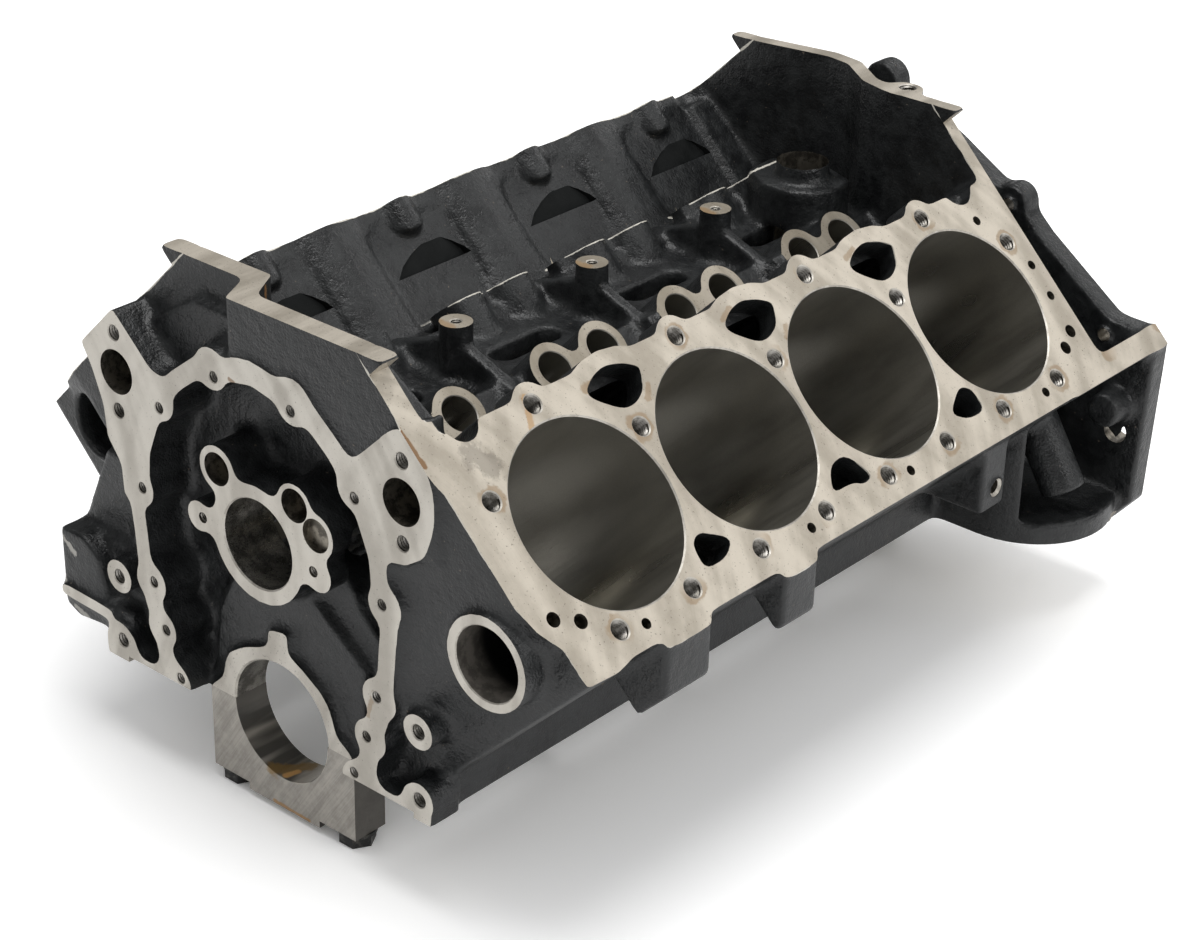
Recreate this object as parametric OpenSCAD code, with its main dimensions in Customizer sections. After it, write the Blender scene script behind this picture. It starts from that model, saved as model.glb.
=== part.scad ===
// Bare V8 engine block with its main bearing caps.
// Origin: crank axis at the machined front face. +Y runs along the crank to the
// bell housing, +X is the bank that sits further forward, +Z is up.

/* [Cylinders] */
// Cylinder bore diameter
bore_d = 104.78; // [96:0.01:107]
// Distance between neighbouring bores of one bank
bore_pitch = 111.76; // [110:0.01:114]
// Crank axis to deck face, square to the deck
deck_h = 229.24; // [222:0.01:236]
// Centre of the first bore behind the front face
first_bore_y = 82.3; // [80:0.1:85]
// How far the second bank sits behind the first
bank_offset = 22.35; // [18:0.01:24]
// Wall of a cylinder barrel
barrel_wall = 6.5; // [5:0.1:8]
// Thickness of the deck plate over the water jacket
deck_plate = 14; // [10:0.5:18]

/* [Crank and cam] */
// Main bearing housing bore
main_bore_d = 72.15; // [68:0.01:76]
// Cam bearing housing bore
cam_bore_d = 51.3; // [47:0.1:54]
// Cam axis above the crank axis
cam_h = 114.83; // [112:0.01:118]
// Thickness of a middle main web and its cap
web_t = 23; // [20:0.5:26]
// Front face of the first main cap
front_cap_y = 11.7; // [10:0.1:14]
// Depth of the first main cap
front_cap_t = 22.5; // [20:0.5:26]
// Depth of the rear main cap
rear_cap_t = 44; // [38:1:48]
// Height of the caps below the parting line
cap_h = 51.5; // [46:0.5:56]
// Half width of a two-bolt cap
cap_half_w = 56; // [54:0.5:58]
// Half width of a four-bolt cap
wide_cap_half_w = 79; // [76:0.5:82]

/* [Main bolts] */
// Bolt shank diameter
bolt_d = 11.1; // [10:0.1:12.7]
// Inner bolts from the crank axis
bolt_x = 46; // [44.5:0.5:47]
// Outer bolts from the crank axis, at the parting line
outer_bolt_x = 74; // [72:0.5:76]
// Outward tilt of the outer bolts
outer_bolt_tilt = 16; // [12:1:18]
// Shoulder of a four-bolt cap below the parting line, on the outer bolt
shoulder_z = 28; // [26:0.5:30]
// Bolt length under the head, past the cap
bolt_grip = 38; // [30:1:45]
// Width of the bolt head across its flats
bolt_head_af = 18; // [16:0.5:19]
// Height of the bolt head
bolt_head_h = 8.5; // [7:0.5:11]

/* [Lifters] */
// Lifter bore diameter
lifter_d = 21.4; // [20:0.1:23]
// Outer diameter of a lifter boss
lifter_boss_d = 32.8; // [31:0.1:34]
// Tilt of the lifter bores from upright
lifter_tilt = 40.9; // [39:0.1:43]
// Cam axis to the machined top of a lifter boss
lifter_reach = 74; // [71:0.5:78]

/* [Casting] */
// Rear main cap to the bell housing face
tail_len = 42.865; // [37:0.005:54]
// Crank axis down to the oil pan rail
rail_drop = 3.6; // [2:0.1:6]
// Half width over the pan rails
rail_half_w = 120; // [117:0.5:124]
// Top of the end walls above the crank axis
end_wall_z = 249; // [244:0.5:252]
// Thickness of the front wall of the valley
front_wall_t = 13.3; // [11:0.1:16]
// Thickness of the rear wall of the valley
rear_wall_t = 9.6; // [8:0.1:12]
// Height of the valley floor
valley_z = 161; // [158:0.5:164]
// Top of the valley standpipes
standpipe_z = 193; // [188:0.5:200]
// Standpipe diameter
standpipe_d = 19.2; // [17:0.1:22]
// Outer wall of the water jacket
jacket_wall = 6; // [5:0.5:8]
// Wall of the crankcase skirt
skirt_wall = 8; // [6:0.5:10]
// Core plug bore diameter
plug_d = 41.28; // [38:0.01:44]
// Thickness of the bell housing flange
flange_t = 15; // [12:0.5:18]

/* [Hidden] */
$fn = 48;
bores = 4;
eps = 1;
over = 20;
half = sqrt(0.5);

bore_r = bore_d / 2;
barrel_r = bore_r + barrel_wall;
main_r = main_bore_d / 2;
cam_r = cam_bore_d / 2;
bank_mid_y = first_bore_y + (bores - 1) * bore_pitch / 2;
bore_y = [for (i = [0:bores - 1]) first_bore_y + i * bore_pitch];
// The middle mains sit half way between the throws, which both banks share
first_throw_y = first_bore_y + bank_offset / 2;
web_y = [for (i = [0:bores - 2]) first_throw_y + (i + 0.5) * bore_pitch];
rear_cap_y = first_throw_y + (bores - 0.5) * bore_pitch - web_t / 2 - 6;
block_len = rear_cap_y + rear_cap_t + tail_len;
cap_from = concat([front_cap_y], [for (y = web_y) y - web_t / 2], [rear_cap_y]);
cap_t = [front_cap_t, web_t, web_t, web_t, rear_cap_t];
cap_w = [cap_half_w, wide_cap_half_w, wide_cap_half_w, wide_cap_half_w, cap_half_w + 6];
cap_names = ["front", "second", "centre", "fourth", "rear"];

// Bank frame: X along the crank, Y across the deck towards the valley, Z square to the deck
// Level of the lifter boss tops, square to the deck
lifter_deck = 157;
valley_edge = 68.6;
outer_edge = -71;
bank_foot = 94;
front_edge = 3.6;
rear_edge = 491.5;
jacket_front = 11;
strip_top = -56;

head_bolt_d = 10.6;
head_bolt_deep = 44;
valley_bolt_deep = 18;
pocket_floor = 66;
pocket_half_w = 34;
pocket_top = 8;
head_bolts = concat(
    [for (y = bore_y) [y, 63.2]],
    [for (i = [0:bores]) [first_throw_y - 11.2 + (i - 0.5) * bore_pitch, 28.6]],
    [for (y = bore_y, s = [-1, 1]) [y + s * bore_pitch / 4, -56.2]]);
small_deck_holes = [[71, -60], [205.4, -60], [295, -60], [429.6, -60],
                    [459.6, 47.9], [481.4, 9.6], [481.4, -11.8]];
dowel_holes = [[21, -36], [479.3, -36], [35.4, -43.2], [467.1, -43.2]];
fan_y = [for (i = [0:bores - 2]) first_bore_y + (i + 0.5) * bore_pitch];

lifter_span = [33.6, 73, 148.3, 187.4];
lifter_y = concat([for (s = lifter_span) bank_mid_y - s], [for (s = lifter_span) bank_mid_y + s]);
gallery_r = 44.6;
gallery_d = 9;
port_d = 19;

timing_bolts = [[28.5, 201.8], [73, 169], [91, 115], [86, 58.4], [78, 31], [68, 4.2]];
pump_hole = [106.3, 179];
port_bore_d = 25.7;
// The water ports break through into the front of each jacket
port_deep = front_edge + jacket_front + 0.4;
pump_bolts = [[106.6, 201.8], [106.6, 156]];
side_bolts = [[115.7, 50.3], [116, 9]];
plug_at = [163, 110.4];
rim_w = 11;
// Depth of the timing chest inside the rim, and of the web in it
chest_y = 28;
chest_back = 34;
web_face_y = 16.2;
foot_depth = 22;
far_plug_at = [161, 118];
far_plug_y = 30;

bell_bolts = [[101, 176], [178, 112], [192, 70], [178, -10]];
bell_dowels = [[192, 50]];
bell_rim = 18;
bell_face_depth = 9;
bell_dowel_d = 15.8;

distributor_at = [0, 458];
distributor_z = 189;
rear_wall_path = [[-130, 500], [-73, 504.5], [-22, 513.5], [-3, 510.5], [22, 492], [40, 486.7], [130, 486.7]];
filter_at = [152, 508];
filter_r = 54;

BOLT_SPOTS = [for (i = [0:4], x = i == 0 || i == 4 ? [-bolt_x, bolt_x]
                                : [-outer_bolt_x, -bolt_x, bolt_x, outer_bolt_x]) [i, x]];
function side_name(x) = str(x < 0 ? "right" : "left", abs(x) > bolt_x ? "_outer" : "");
BOLT_NODES = [for (s = BOLT_SPOTS) str("main_bolt_", cap_names[s[0]], "_", side_name(s[1]))];
CAP_NODES = [for (n = cap_names) str("main_cap_", n)];

paint = [0.16, 0.17, 0.18];
raw_iron = [0.55, 0.54, 0.52];
bolt_steel = [0.22, 0.21, 0.20];

// Plane and bank frames

// Places a profile drawn in X and Z, with its thickness running back from y
module standing(y, t) translate([0, y + t, 0]) rotate([90, 0, 0]) linear_extrude(t) children();

// Turns the bank frame upright into the block, for the near or the far bank
module in_bank(far) {
    if (far) translate([0, bank_offset, 0]) mirror([1, 0, 0]) bank_frame() children();
    else bank_frame() children();
}

module bank_frame() rotate([0, 45, 0]) rotate([0, 0, 90]) children();

module both_banks() for (far = [false, true]) in_bank(far) children();

// The same in the block frame: once as drawn, once mirrored and set back
module each_bank() {
    children();
    translate([0, bank_offset, 0]) mirror([1, 0, 0]) children();
}

module both_sides() {
    children();
    mirror([1, 0, 0]) children();
}

// A hole square to the deck, from the deck face down
module deck_hole(at, d, deep) translate([at[0], at[1], deck_h - deep]) cylinder(d = d, h = deep + eps);

module strip(a, b, w) {
    along = (b - a) / norm(b - a);
    across = [-along[1], along[0]] * w / 2;
    polygon([a + across, b + across, b - across, a - across]);
}

module soften(r) offset(r = -r, $fn = 24) offset(r = r, $fn = 24) children();

// Outlines

module deck_outline() {
    soften(5) difference() {
        union() {
            polygon([[front_edge, valley_edge], [front_edge, -21], [8, -38], [17, -52], [17, -73],
                     [39, -74], [53, outer_edge], [rear_edge, outer_edge],
                     [rear_edge, valley_edge]]);
            for (y = bore_y) translate([y, 63.2]) circle(r = 12.3);
            for (y = fan_y) translate([y, 17]) circle(r = 57);
        }
        translate([35, 70]) circle(r = 10.5);
        translate([459, 72]) circle(r = 12.5);
    }
}

module jacket_outline() {
    translate([0, -1]) polygon([[front_edge + jacket_front, 60], [front_edge + jacket_front, -28], [27, -48],
             [27, outer_edge + 1 + jacket_wall + 1], [rear_edge - 9, outer_edge + 2 + jacket_wall],
             [rear_edge - 9, 60]]);
}

module fan_outline() {
    soften(2) polygon([[-4.5, 40.4], [5.5, 40.4], [15, 45], [20, 54], [20.4, 57.5], [12, 62.5], [0, 65.4],
                       [-11, 63], [-20.3, 57.5], [-19.5, 52]]);
}

module triangle_outline() polygon([[-14, -51.5], [-13, -38], [-8, -34], [-2, -34], [13.8, -44],
                                   [3, -51.5]]);

module slanted_outline() polygon([[-17.5, -50], [-8, -36], [7, -34.5], [17.5, -52], [8, -54], [0, -50]]);

module crankcase_outline() {
    polygon([[-rail_half_w, -rail_drop], [rail_half_w, -rail_drop], [rail_half_w, 20],
             [63, 157], [34, valley_z], [-34, valley_z], [-63, 157], [-rail_half_w, 20]]);
}

// The open space of one crankcase bay, with the cam tunnel above it
module bay_outline() {
    inner = rail_half_w - skirt_wall;
    soften(6) polygon([[-inner, -rail_drop - over], [inner, -rail_drop - over], [inner, 26],
        [48, 88], [38, 96], [33, 112], [26, 136], [12, 147], [-12, 147], [-26, 136],
        [-33, 112], [-38, 96], [-48, 88], [-inner, 26]]);
}

// The timing cover rim: bolt bosses joined by a band
function mirrored(list) = [for (i = [len(list) - 1:-1:0]) [-list[i][0], list[i][1]]];

rim_path = [[0, 212], [26, 207], [40, 204], [58, 190], [74, 174], [88, 140], [90, 118],
            [96, 104], [94, 88], [92, 62], [88, 44], [82, 34], [79, 14], [66, 4]];

module rim_side() {
    path_band(rim_path, rim_w);
    translate([30, 206]) circle(r = 12);
    translate([73.5, 174]) circle(r = 12.5);
    translate([93, 115]) circle(r = 11.5);
    translate([88, 58]) circle(r = 12);
    translate([81, 31]) circle(r = 11.5);
}

module rim_outline() {
    intersection() {
        soften(6) union() {
            rim_side();
            mirror([1, 0]) rim_side();
            pump_pad();
            mirror([1, 0]) wide_pump_pad();
            foot_pad(0);
            mirror([1, 0]) foot_pad(5);
        }
        translate([-200, -rail_drop]) square([400, 300]);
    }
}

module pump_pad() polygon([[66, 181], [79, 192], [106, 218.5], [120, 204.5], [127, 188], [127, 174],
                           [118, 152], [108, 144.5], [95, 144], [84, 140], [74, 160]]);

module wide_pump_pad() polygon([[60, 186], [78, 190], [106.4, 216], [134.5, 188], [127, 176], [119, 156],
                                [117, 137], [107, 124], [106, 106], [93, 100], [86, 132], [74, 160]]);

module foot_pad(extra) {
    polygon([[59, -rail_drop - 1], [59.5, 3], [64, 10], [73, 16], [86, 17], [84.4, 10], [88, 5],
             [92, 3.8], [102, 3.8], [106, 14], [112, 18.4], [118 + extra, 18], [124.6 + extra, 8],
             [124.6 + extra, -rail_drop - 1]]);
}

// The cam thrust face with its ears and the oil gallery ports
module cam_face_outline() {
    soften(5) union() {
        translate([0, cam_h]) circle(r = 34.4);
        translate([-45, 115]) circle(r = 9);
        strip([-45, 115], [-20, 115], 15);
        translate([45, 114]) circle(r = 10);
        strip([45, 114], [20, 118], 18);
        translate([-29, 148.6]) circle(r = 13.5);
        strip([-29, 148.6], [-14, 132], 22);
        translate([29.4, 148.4]) circle(r = 12.7);
        strip([29.4, 148.4], [15, 132], 22);
        translate([44.5, 136.8]) circle(r = 13);
        strip([44.5, 136.8], [20, 120], 22);
    }
}

// Plan of the front wall: straight on each bank, with a jog where the banks are offset
module front_wall_plan() {
    far_y = 1.2 + bank_offset;
    soften(6) polygon([[-130, far_y], [-29, far_y], [-18, 1.2], [130, 1.2],
             [130, 1.2 + front_wall_t], [-9, 1.2 + front_wall_t],
             [-22, far_y + front_wall_t], [-130, far_y + front_wall_t]]);
}

// A band along a path, with round corners
module path_band(path, w) {
    for (i = [0:len(path) - 2]) strip(path[i], path[i + 1], w);
    for (p = path) translate(p) circle(d = w);
}

// Solids of the casting

module bank_solid() {
    translate([0, 0, bank_foot]) linear_extrude(deck_h - bank_foot) deck_outline();
    side_lug(74.5, 110, 182);
    side_lug(169.4, 198, 201);
}

// Flat-sided lugs under the outer deck edge
module side_lug(from, to, low) {
    intersection() {
        translate([from, -96.6, low]) cube([to - from, 30, deck_h - low]);
        rotate([0, 0, -90]) rotate([0, -45, 0]) translate([100, 0, 0]) cube([115.7, block_len, deck_h]);
    }
}

// Flat pockets in the valley wall, one beside each barrel, round the boss of the valley bolt
module valley_pockets() {
    for (y = bore_y) translate([y, pocket_floor, lifter_deck]) rotate([-90, 0, 0])
        mirror([0, 1, 0]) linear_extrude(over) pocket_outline();
}

module pocket_outline() {
    w = pocket_half_w;
    top = deck_h - pocket_top - lifter_deck;
    foot = deck_h - valley_bolt_deep - 3 - lifter_deck;
    soften(2.5) polygon([[-w, -over], [-w, top - 14], [-w + 3, top - 5], [-23, top], [-13, top], [-11, foot + 5],
        [-6, foot], [6, foot], [11, foot + 5], [13, top], [w - 10, top - 1], [w - 3, top - 6], [w, top - 15], [w, -over]]);
}

module bank_inside() {
    difference() {
        translate([0, 0, bank_foot + 8]) linear_extrude(deck_h - deck_plate - bank_foot - 8) jacket_outline();
        for (y = bore_y) translate([y, 0, bank_foot]) cylinder(r = barrel_r, h = deck_h - bank_foot);
        for (p = head_bolts) if (p[1] < 60) translate([p[0], p[1], deck_h - head_bolt_deep - 9])
            cylinder(d = head_bolt_d + 9, h = head_bolt_deep);
    }
}

module bank_cuts() {
    for (y = bore_y) {
        translate([y, 0, bank_foot - 16]) cylinder(r = bore_r, h = deck_h);
        // Relief at the foot of the bore, clear of the rods
        translate([y, 0, bank_foot - 24]) cylinder(r = bore_r + 2.5, h = 26);
    }
    for (p = head_bolts) deck_hole(p, head_bolt_d, p[1] > 60 ? valley_bolt_deep : head_bolt_deep);
    for (p = small_deck_holes) deck_hole(p, 6, 22);
    for (p = dowel_holes) deck_hole(p, 8.2, 12);
    translate([0, 0, deck_h - deck_plate - eps]) linear_extrude(deck_plate + over) {
        for (y = fan_y) translate([y, 0]) fan_outline();
        translate([fan_y[0], 0]) triangle_outline();
        translate([fan_y[1], 0]) slanted_outline();
        translate([fan_y[2], 0]) mirror([1, 0]) triangle_outline();
    }
    for (y = fan_y) translate([y - 14, outer_edge - over, 150])
        rotate([-90, 0, 0]) cylinder(d = plug_d, h = over + jacket_wall + 6);
    valley_pockets();
}

module lifter_frame(y) translate([0, y, cam_h]) rotate([0, lifter_tilt, 0]) children();

module lifter_solids() {
    // The far ends of the pairs run on as a flat bar
    for (i = [2:2:6]) lifter_frame(lifter_y[i] - 26) translate([-6, 0, 30]) cube([12, 30, lifter_reach - 30]);
    for (y = lifter_y) lifter_frame(y) translate([0, 0, 24]) cylinder(d = lifter_boss_d, h = lifter_reach - 24);
    for (i = [0:2:len(lifter_y) - 1]) lifter_bridge(min(lifter_y[i], lifter_y[i + 1]),
                                                  max(lifter_y[i], lifter_y[i + 1]));
    // The gallery wall that carries the bosses
    translate([0, 34, cam_h]) rotate([0, lifter_tilt, 0]) translate([-9, 0, 26])
        cube([24, rear_edge - 42, lifter_reach - 36]);
}

module lifter_bridge(from, to) lifter_frame(from) translate([-4, 0, 30]) cube([17, to - from, lifter_reach - 30]);

module lifter_cuts() {
    for (y = lifter_y) lifter_frame(y) {
        translate([0, 0, 10]) cylinder(d = lifter_d, h = lifter_reach);
        // The boss stands clear of the bank above its machined top
        translate([0, 0, lifter_reach]) cylinder(d = lifter_boss_d - 1, h = 14);
    }
    translate([0, -eps, cam_h]) rotate([0, lifter_tilt, 0]) translate([0, 0, gallery_r]) rotate([-90, 0, 0])
        cylinder(d = gallery_d, h = rear_edge);
}

module valley_solids() {
    for (y = web_y) {
        translate([0, y, valley_z - eps]) cylinder(d = standpipe_d, h = standpipe_z - valley_z + eps);
        standing(y - 4.5, 9) polygon([[-58, 154], [58, 154], [50, 166], [standpipe_d / 2, 181],
                                      [-standpipe_d / 2, 181], [-50, 166]]);
    }
    // Platform of the distributor
    translate([0, distributor_at[1], valley_z - 12]) linear_extrude(distributor_z - valley_z + 12) soften(5)
        polygon([[-35, 12], [-28, 20], [0, 27], [24, 18], [27, 0], [22, -17], [10, -25], [-12, -25], [-33, -12]]);
}

module end_walls() {
    intersection() {
        translate([0, 0, 150]) linear_extrude(end_wall_z - 150) {
            front_wall_plan();
            soften(4) {
                path_band(rear_wall_path, rear_wall_t);
                translate([47, 493]) circle(r = 12);
            }
        }
        // Trimmed in line with both deck faces
        under_deck();
        mirror([1, 0, 0]) under_deck();
    }
}

module under_deck() rotate([0, 45, 0]) translate([-300, -over, 0]) cube([600, block_len + 2 * over, deck_h]);

// The space inside the timing rim
module chest_outline() polygon(concat([[-66, -over]], mirrored(rim_path), rim_path, [[66, -over]]));

module front_solids() {
    standing(0, foot_depth) rim_outline();
    standing(0, chest_back) intersection() {
        rim_outline();
        translate([-104, -rail_drop]) square([208, 260]);
    }
    standing(0, 40) mirror([1, 0]) wide_pump_pad();
    standing(0, chest_back) cam_face_outline();
    standing(front_cap_y, chest_y - front_cap_y) web_ring_outline();
    // The web between the crank and the cam, stepped back at its sides
    standing(web_face_y, chest_back - web_face_y)
        polygon([[-59, 0], [59, 0], [62, 56], [23, 84], [30, 115], [-30, 115], [-34, 84], [-52, 50]]);
    standing(web_face_y + 6, chest_back - web_face_y - 6)
        polygon([[-59, 0], [62, 0], [78, 22], [80, 60], [50, 90], [44, 115], [-36, 115], [-40, 84], [-58, 50]]);
    both_sides() for (p = side_bolts) translate([p[0], 0, p[1]]) rotate([-90, 0, 0]) cylinder(r = 10.2, h = foot_depth);
    translate([plug_at[0], 0, plug_at[1]]) rotate([-90, 0, 0]) cylinder(r = 26, h = 30);
    translate([-far_plug_at[0], far_plug_y, far_plug_at[1]]) rotate([-90, 0, 0]) cylinder(r = 25, h = 30);
    fuel_pump_pad();
}

// Machined rim round the upper half of the first main bore
module web_ring_outline() {
    polygon([[-56, 0], [-50, 5], [-45, 10], [-43, 20], [-40, 27], [-33, 32], [-27, 36], [-12, 42], [-7, 45],
             [-7.5, 55], [7.5, 58], [6, 45], [15, 42], [32, 32], [38, 25], [41, 16], [43, 9], [50, 5.5], [56, 0]]);
}

// The pad on the second bank's side that takes a lever-driven fuel pump
module fuel_pump_pad() {
    standing(3, 67) polygon([[-110, 8], [-140, 8], [-158, 6], [-169.5, 11], [-170, 61], [-150, 61], [-137, 52],
                             [-131, 27], [-110, 27]]);
    translate([-170, 0, 0]) rotate([90, 0, 90]) linear_extrude(60)
        polygon([[14, 8], [14, 61], [70, 61], [70, 8]]);
    standing(20, 50) polygon([[-168, 61], [-145, 112], [-110, 112], [-110, 30], [-168, 30]]);
    standing(0, 10) polygon([[-124, 19], [-124, 24.5], [-168, 25.5], [-168, 20]]);
}

module front_bulkhead_outline() {
    polygon([[-rail_half_w, -rail_drop], [-59, -rail_drop], [-59, 0], [59, 0], [59, -rail_drop],
             [rail_half_w, -rail_drop], [rail_half_w, 20], [124, 60], [112, 120], [122, 160], [100, 205], [60, 230],
             [-60, 230], [-100, 205], [-122, 160], [-112, 120], [-124, 60], [-rail_half_w, 20]]);
}

module bell_outline() {
    soften(8) union() {
        polygon([[212.5, 110.2], [203, 120.5], [185, 121], [178, 122], [125, 160], [112, 172],
                 [83, 188], [52, 206], [10, 222], [-10, 222], [-52, 206], [-83, 188], [-112, 172],
                 [-125, 160], [-178, 122], [-185, 121], [-203, 120.5], [-212.5, 110.2],
                 [-208.3, 4.4], [-193, -14], [-176, -26], [-150, -rail_drop],
                 [150, -rail_drop], [176, -26], [193, -14], [208.3, 4.4]]);
        both_sides() translate(bell_bolts[0]) circle(r = 11.5);
        translate([-3, 229]) circle(r = 13);
    }
}

module rear_solids() {
    difference() {
        standing(block_len - flange_t, flange_t) bell_outline();
        standing(block_len - bell_face_depth, bell_face_depth + eps) difference() {
            offset(delta = -bell_rim) bell_outline();
            circle(r = 92);
            translate([0, cam_h]) circle(r = 40);
        }
    }
    // Bosses of the bell housing dowels, up to the flange face
    both_sides() for (p = bell_dowels) standing(block_len - flange_t, flange_t)
        translate(p) circle(r = bell_dowel_d / 2 + 6);
    // Bulkhead and side walls that tie the flange to the banks
    standing(rear_edge - 24, 46) polygon([[-140, -rail_drop], [140, -rail_drop], [150, 60], [100, 165],
                             [60, 158], [-60, 158], [-100, 165], [-150, 60]]);
    standing(rear_cap_y + rear_cap_t + 1.8, tail_len - 9.8)
        polygon([[-rail_half_w, -rail_drop], [rail_half_w, -rail_drop], [rail_half_w + 8, 40],
                 [96, 170], [40, 208], [-40, 208], [-96, 170], [-rail_half_w - 8, 40]]);
    standing(block_len - 34, 30) translate([191.7, 70]) circle(r = 11);
    rear_strip();
    mirror([1, 0, 0]) rear_strip();
    filter_housing();
}

// The narrow end of the deck plane that runs back to the flange
module rear_strip() bank_frame()
    translate([rear_edge - 40, outer_edge - 0.8, deck_h - 14])
        cube([block_len - rear_edge + 40, strip_top - outer_edge, 14]);

module filter_plan() difference() {
    union() {
        circle(r = filter_r);
        translate([-filter_at[0] + 112, -filter_r]) square([filter_at[0] - 112, filter_r]);
    }
    translate([-filter_r - over, block_len - filter_at[1] - 2]) square([2 * filter_r + 2 * over, over]);
}

module filter_housing() {
    difference() {
        intersection() {
            translate([filter_at[0], filter_at[1], -rail_drop]) linear_extrude(150) filter_plan();
            bank_frame() translate([430, strip_top - 164, 60]) cube([140, 164, deck_h - 62]);
        }
        // The pocket is open on its outer side, from the front wall round to the flange
        translate([128, filter_at[1] - filter_r + 8, 10]) cube([100, block_len - flange_t - filter_at[1] + filter_r - 8, 200]);
    }
    // The oil passage boss that slopes down into the pocket
    translate([134, 494, 108]) rotate([0, 148, 0]) cylinder(r = 14, h = 100);
    // Threaded lug in front of the pocket
    translate([130, 404, 40]) cube([54, 25, 82]);
}

module bay_cuts() {
    starts = [front_cap_y + front_cap_t, for (y = web_y) y + web_t / 2];
    ends = concat([for (y = web_y) y - web_t / 2], [rear_cap_y]);
    for (i = [0:3]) standing(starts[i], ends[i] - starts[i]) bay_outline();
    // Nothing below the parting line between the rails
    standing(-eps, block_len - flange_t) polygon([[-rail_half_w + skirt_wall, -over], [rail_half_w - skirt_wall, -over],
        [rail_half_w - skirt_wall, 0], [-rail_half_w + skirt_wall, 0]]);
}

module front_cuts() {
    both_sides() {
        for (p = timing_bolts) front_hole(p, 6.4, 20);
        for (p = pump_bolts) front_hole(p, 8.6, 28);
        for (p = side_bolts) front_hole(p, 8.6, 24);
        front_hole([42, 115], 6.4, 18);
    }
    front_hole(pump_hole, port_bore_d, port_deep);
    front_hole([-pump_hole[0], pump_hole[1]], port_bore_d, port_deep + bank_offset);
    translate([0, 12, cam_h - 40]) cylinder(d = 6, h = 30);
    for (s = [-1, 1]) front_hole([s * 29.2, 148.5], port_d, 14);
    front_hole([44.5, 136.8], port_d, 4);
    front_hole([44.5, 136.8], 9, 18);
    front_hole(plug_at, plug_d, 32);
    translate([-far_plug_at[0], far_plug_y - eps, far_plug_at[1]]) rotate([-90, 0, 0]) cylinder(d = plug_d, h = 32);
    translate([-170 - eps, 40, 40]) rotate([0, 90, 0]) cylinder(r = 18, h = 40);
    for (p = [[16, 26], [62, 62]]) translate([-170 - eps, p[0], p[1]]) rotate([0, 90, 0]) cylinder(d = 8.6, h = 22);
}

module front_hole(at, d, deep) translate([at[0], -eps, at[1]]) rotate([-90, 0, 0]) cylinder(d = d, h = deep + eps);

module rear_cuts() {
    both_sides() for (p = bell_bolts) rear_hole(p, 8.6, flange_t + 4);
    both_sides() for (p = bell_dowels) rear_hole(p, bell_dowel_d, flange_t);
    translate([184 + eps, 417, 54.7]) rotate([0, -90, 0]) cylinder(d = 8.6, h = 20);
    rear_hole([0, 0], 150, block_len - rear_cap_y - rear_cap_t);
    rear_hole([0, cam_h], 56, 8);
}

module rear_hole(at, d, deep) translate([at[0], block_len + eps, at[1]]) rotate([90, 0, 0])
    cylinder(d = d, h = deep + eps);

module axis_cuts() {
    translate([0, -over, 0]) rotate([-90, 0, 0]) cylinder(r = main_r, h = block_len + 2 * over);
    translate([0, -over, cam_h]) rotate([-90, 0, 0]) cylinder(r = cam_r, h = rear_edge + 30 + over);
}

module valley_cuts() {
    for (y = concat([first_throw_y], [for (w = web_y) w + bore_pitch / 2])) slot(y);
    for (y = web_y) translate([0, y, valley_z - 30]) cylinder(d = 6, h = standpipe_z - valley_z + 31);
    translate([distributor_at[0], distributor_at[1], cam_h]) cylinder(r = 16, h = distributor_z - cam_h + eps);
    translate([47, 497, end_wall_z - 24]) cylinder(d = 10.6, h = 25);
}

module slot(y) translate([0, y, 135]) linear_extrude(valley_z - 135 + eps) {
    square([16, 36], center = true);
    for (s = [-1, 1]) translate([0, s * 18]) circle(d = 16);
}

// Frame of a main bolt, with its axis on Z and the parting line at zero
module bolt_frame(s) {
    outer = abs(s[1]) > bolt_x;
    translate([s[1], cap_from[s[0]] + cap_t[s[0]] / 2, 0])
        rotate([0, outer ? sign(s[1]) * outer_bolt_tilt : 0, 0]) children();
}

// Bolt seat below the parting line, along the bolt
function seat_of(s) = abs(s[1]) > bolt_x ? shoulder_z / cos(outer_bolt_tilt) : cap_h;

module bolt_cuts() for (s = BOLT_SPOTS) bolt_frame(s) translate([0, 0, -4]) cylinder(d = bolt_d + 0.5, h = bolt_grip + 8);

module engine_block() color(paint) difference() {
    union() {
        difference() {
            union() {
                standing(web_face_y, rear_edge - web_face_y) crankcase_outline();
                both_banks() bank_solid();
                end_walls();
                standing(web_face_y, 20) front_bulkhead_outline();
            }
            standing(-eps, chest_y + eps) chest_outline();
        }
        each_bank() lifter_solids();
        front_solids();
        rear_solids();
        valley_solids();
    }
    both_banks() {
        bank_inside();
        bank_cuts();
    }
    each_bank() lifter_cuts();
    bay_cuts();
    axis_cuts();
    front_cuts();
    rear_cuts();
    valley_cuts();
    bolt_cuts();
}

// Caps and fasteners

module main_cap(i) color(raw_iron) difference() {
    standing(cap_from[i], cap_t[i]) cap_outline(cap_w[i]);
    translate([0, -over, 0]) rotate([-90, 0, 0]) cylinder(r = main_r, h = block_len + 2 * over);
    for (s = BOLT_SPOTS) if (s[0] == i) bolt_frame(s)
        translate([0, 0, -cap_h - 10]) cylinder(d = bolt_d + 0.5, h = cap_h + 20);
}

module cap_outline(w) {
    foot = w > cap_half_w + 10 ? cap_half_w : w;
    polygon(concat(cap_side(w, foot), mirrored(cap_side(w, foot))));
}

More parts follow.
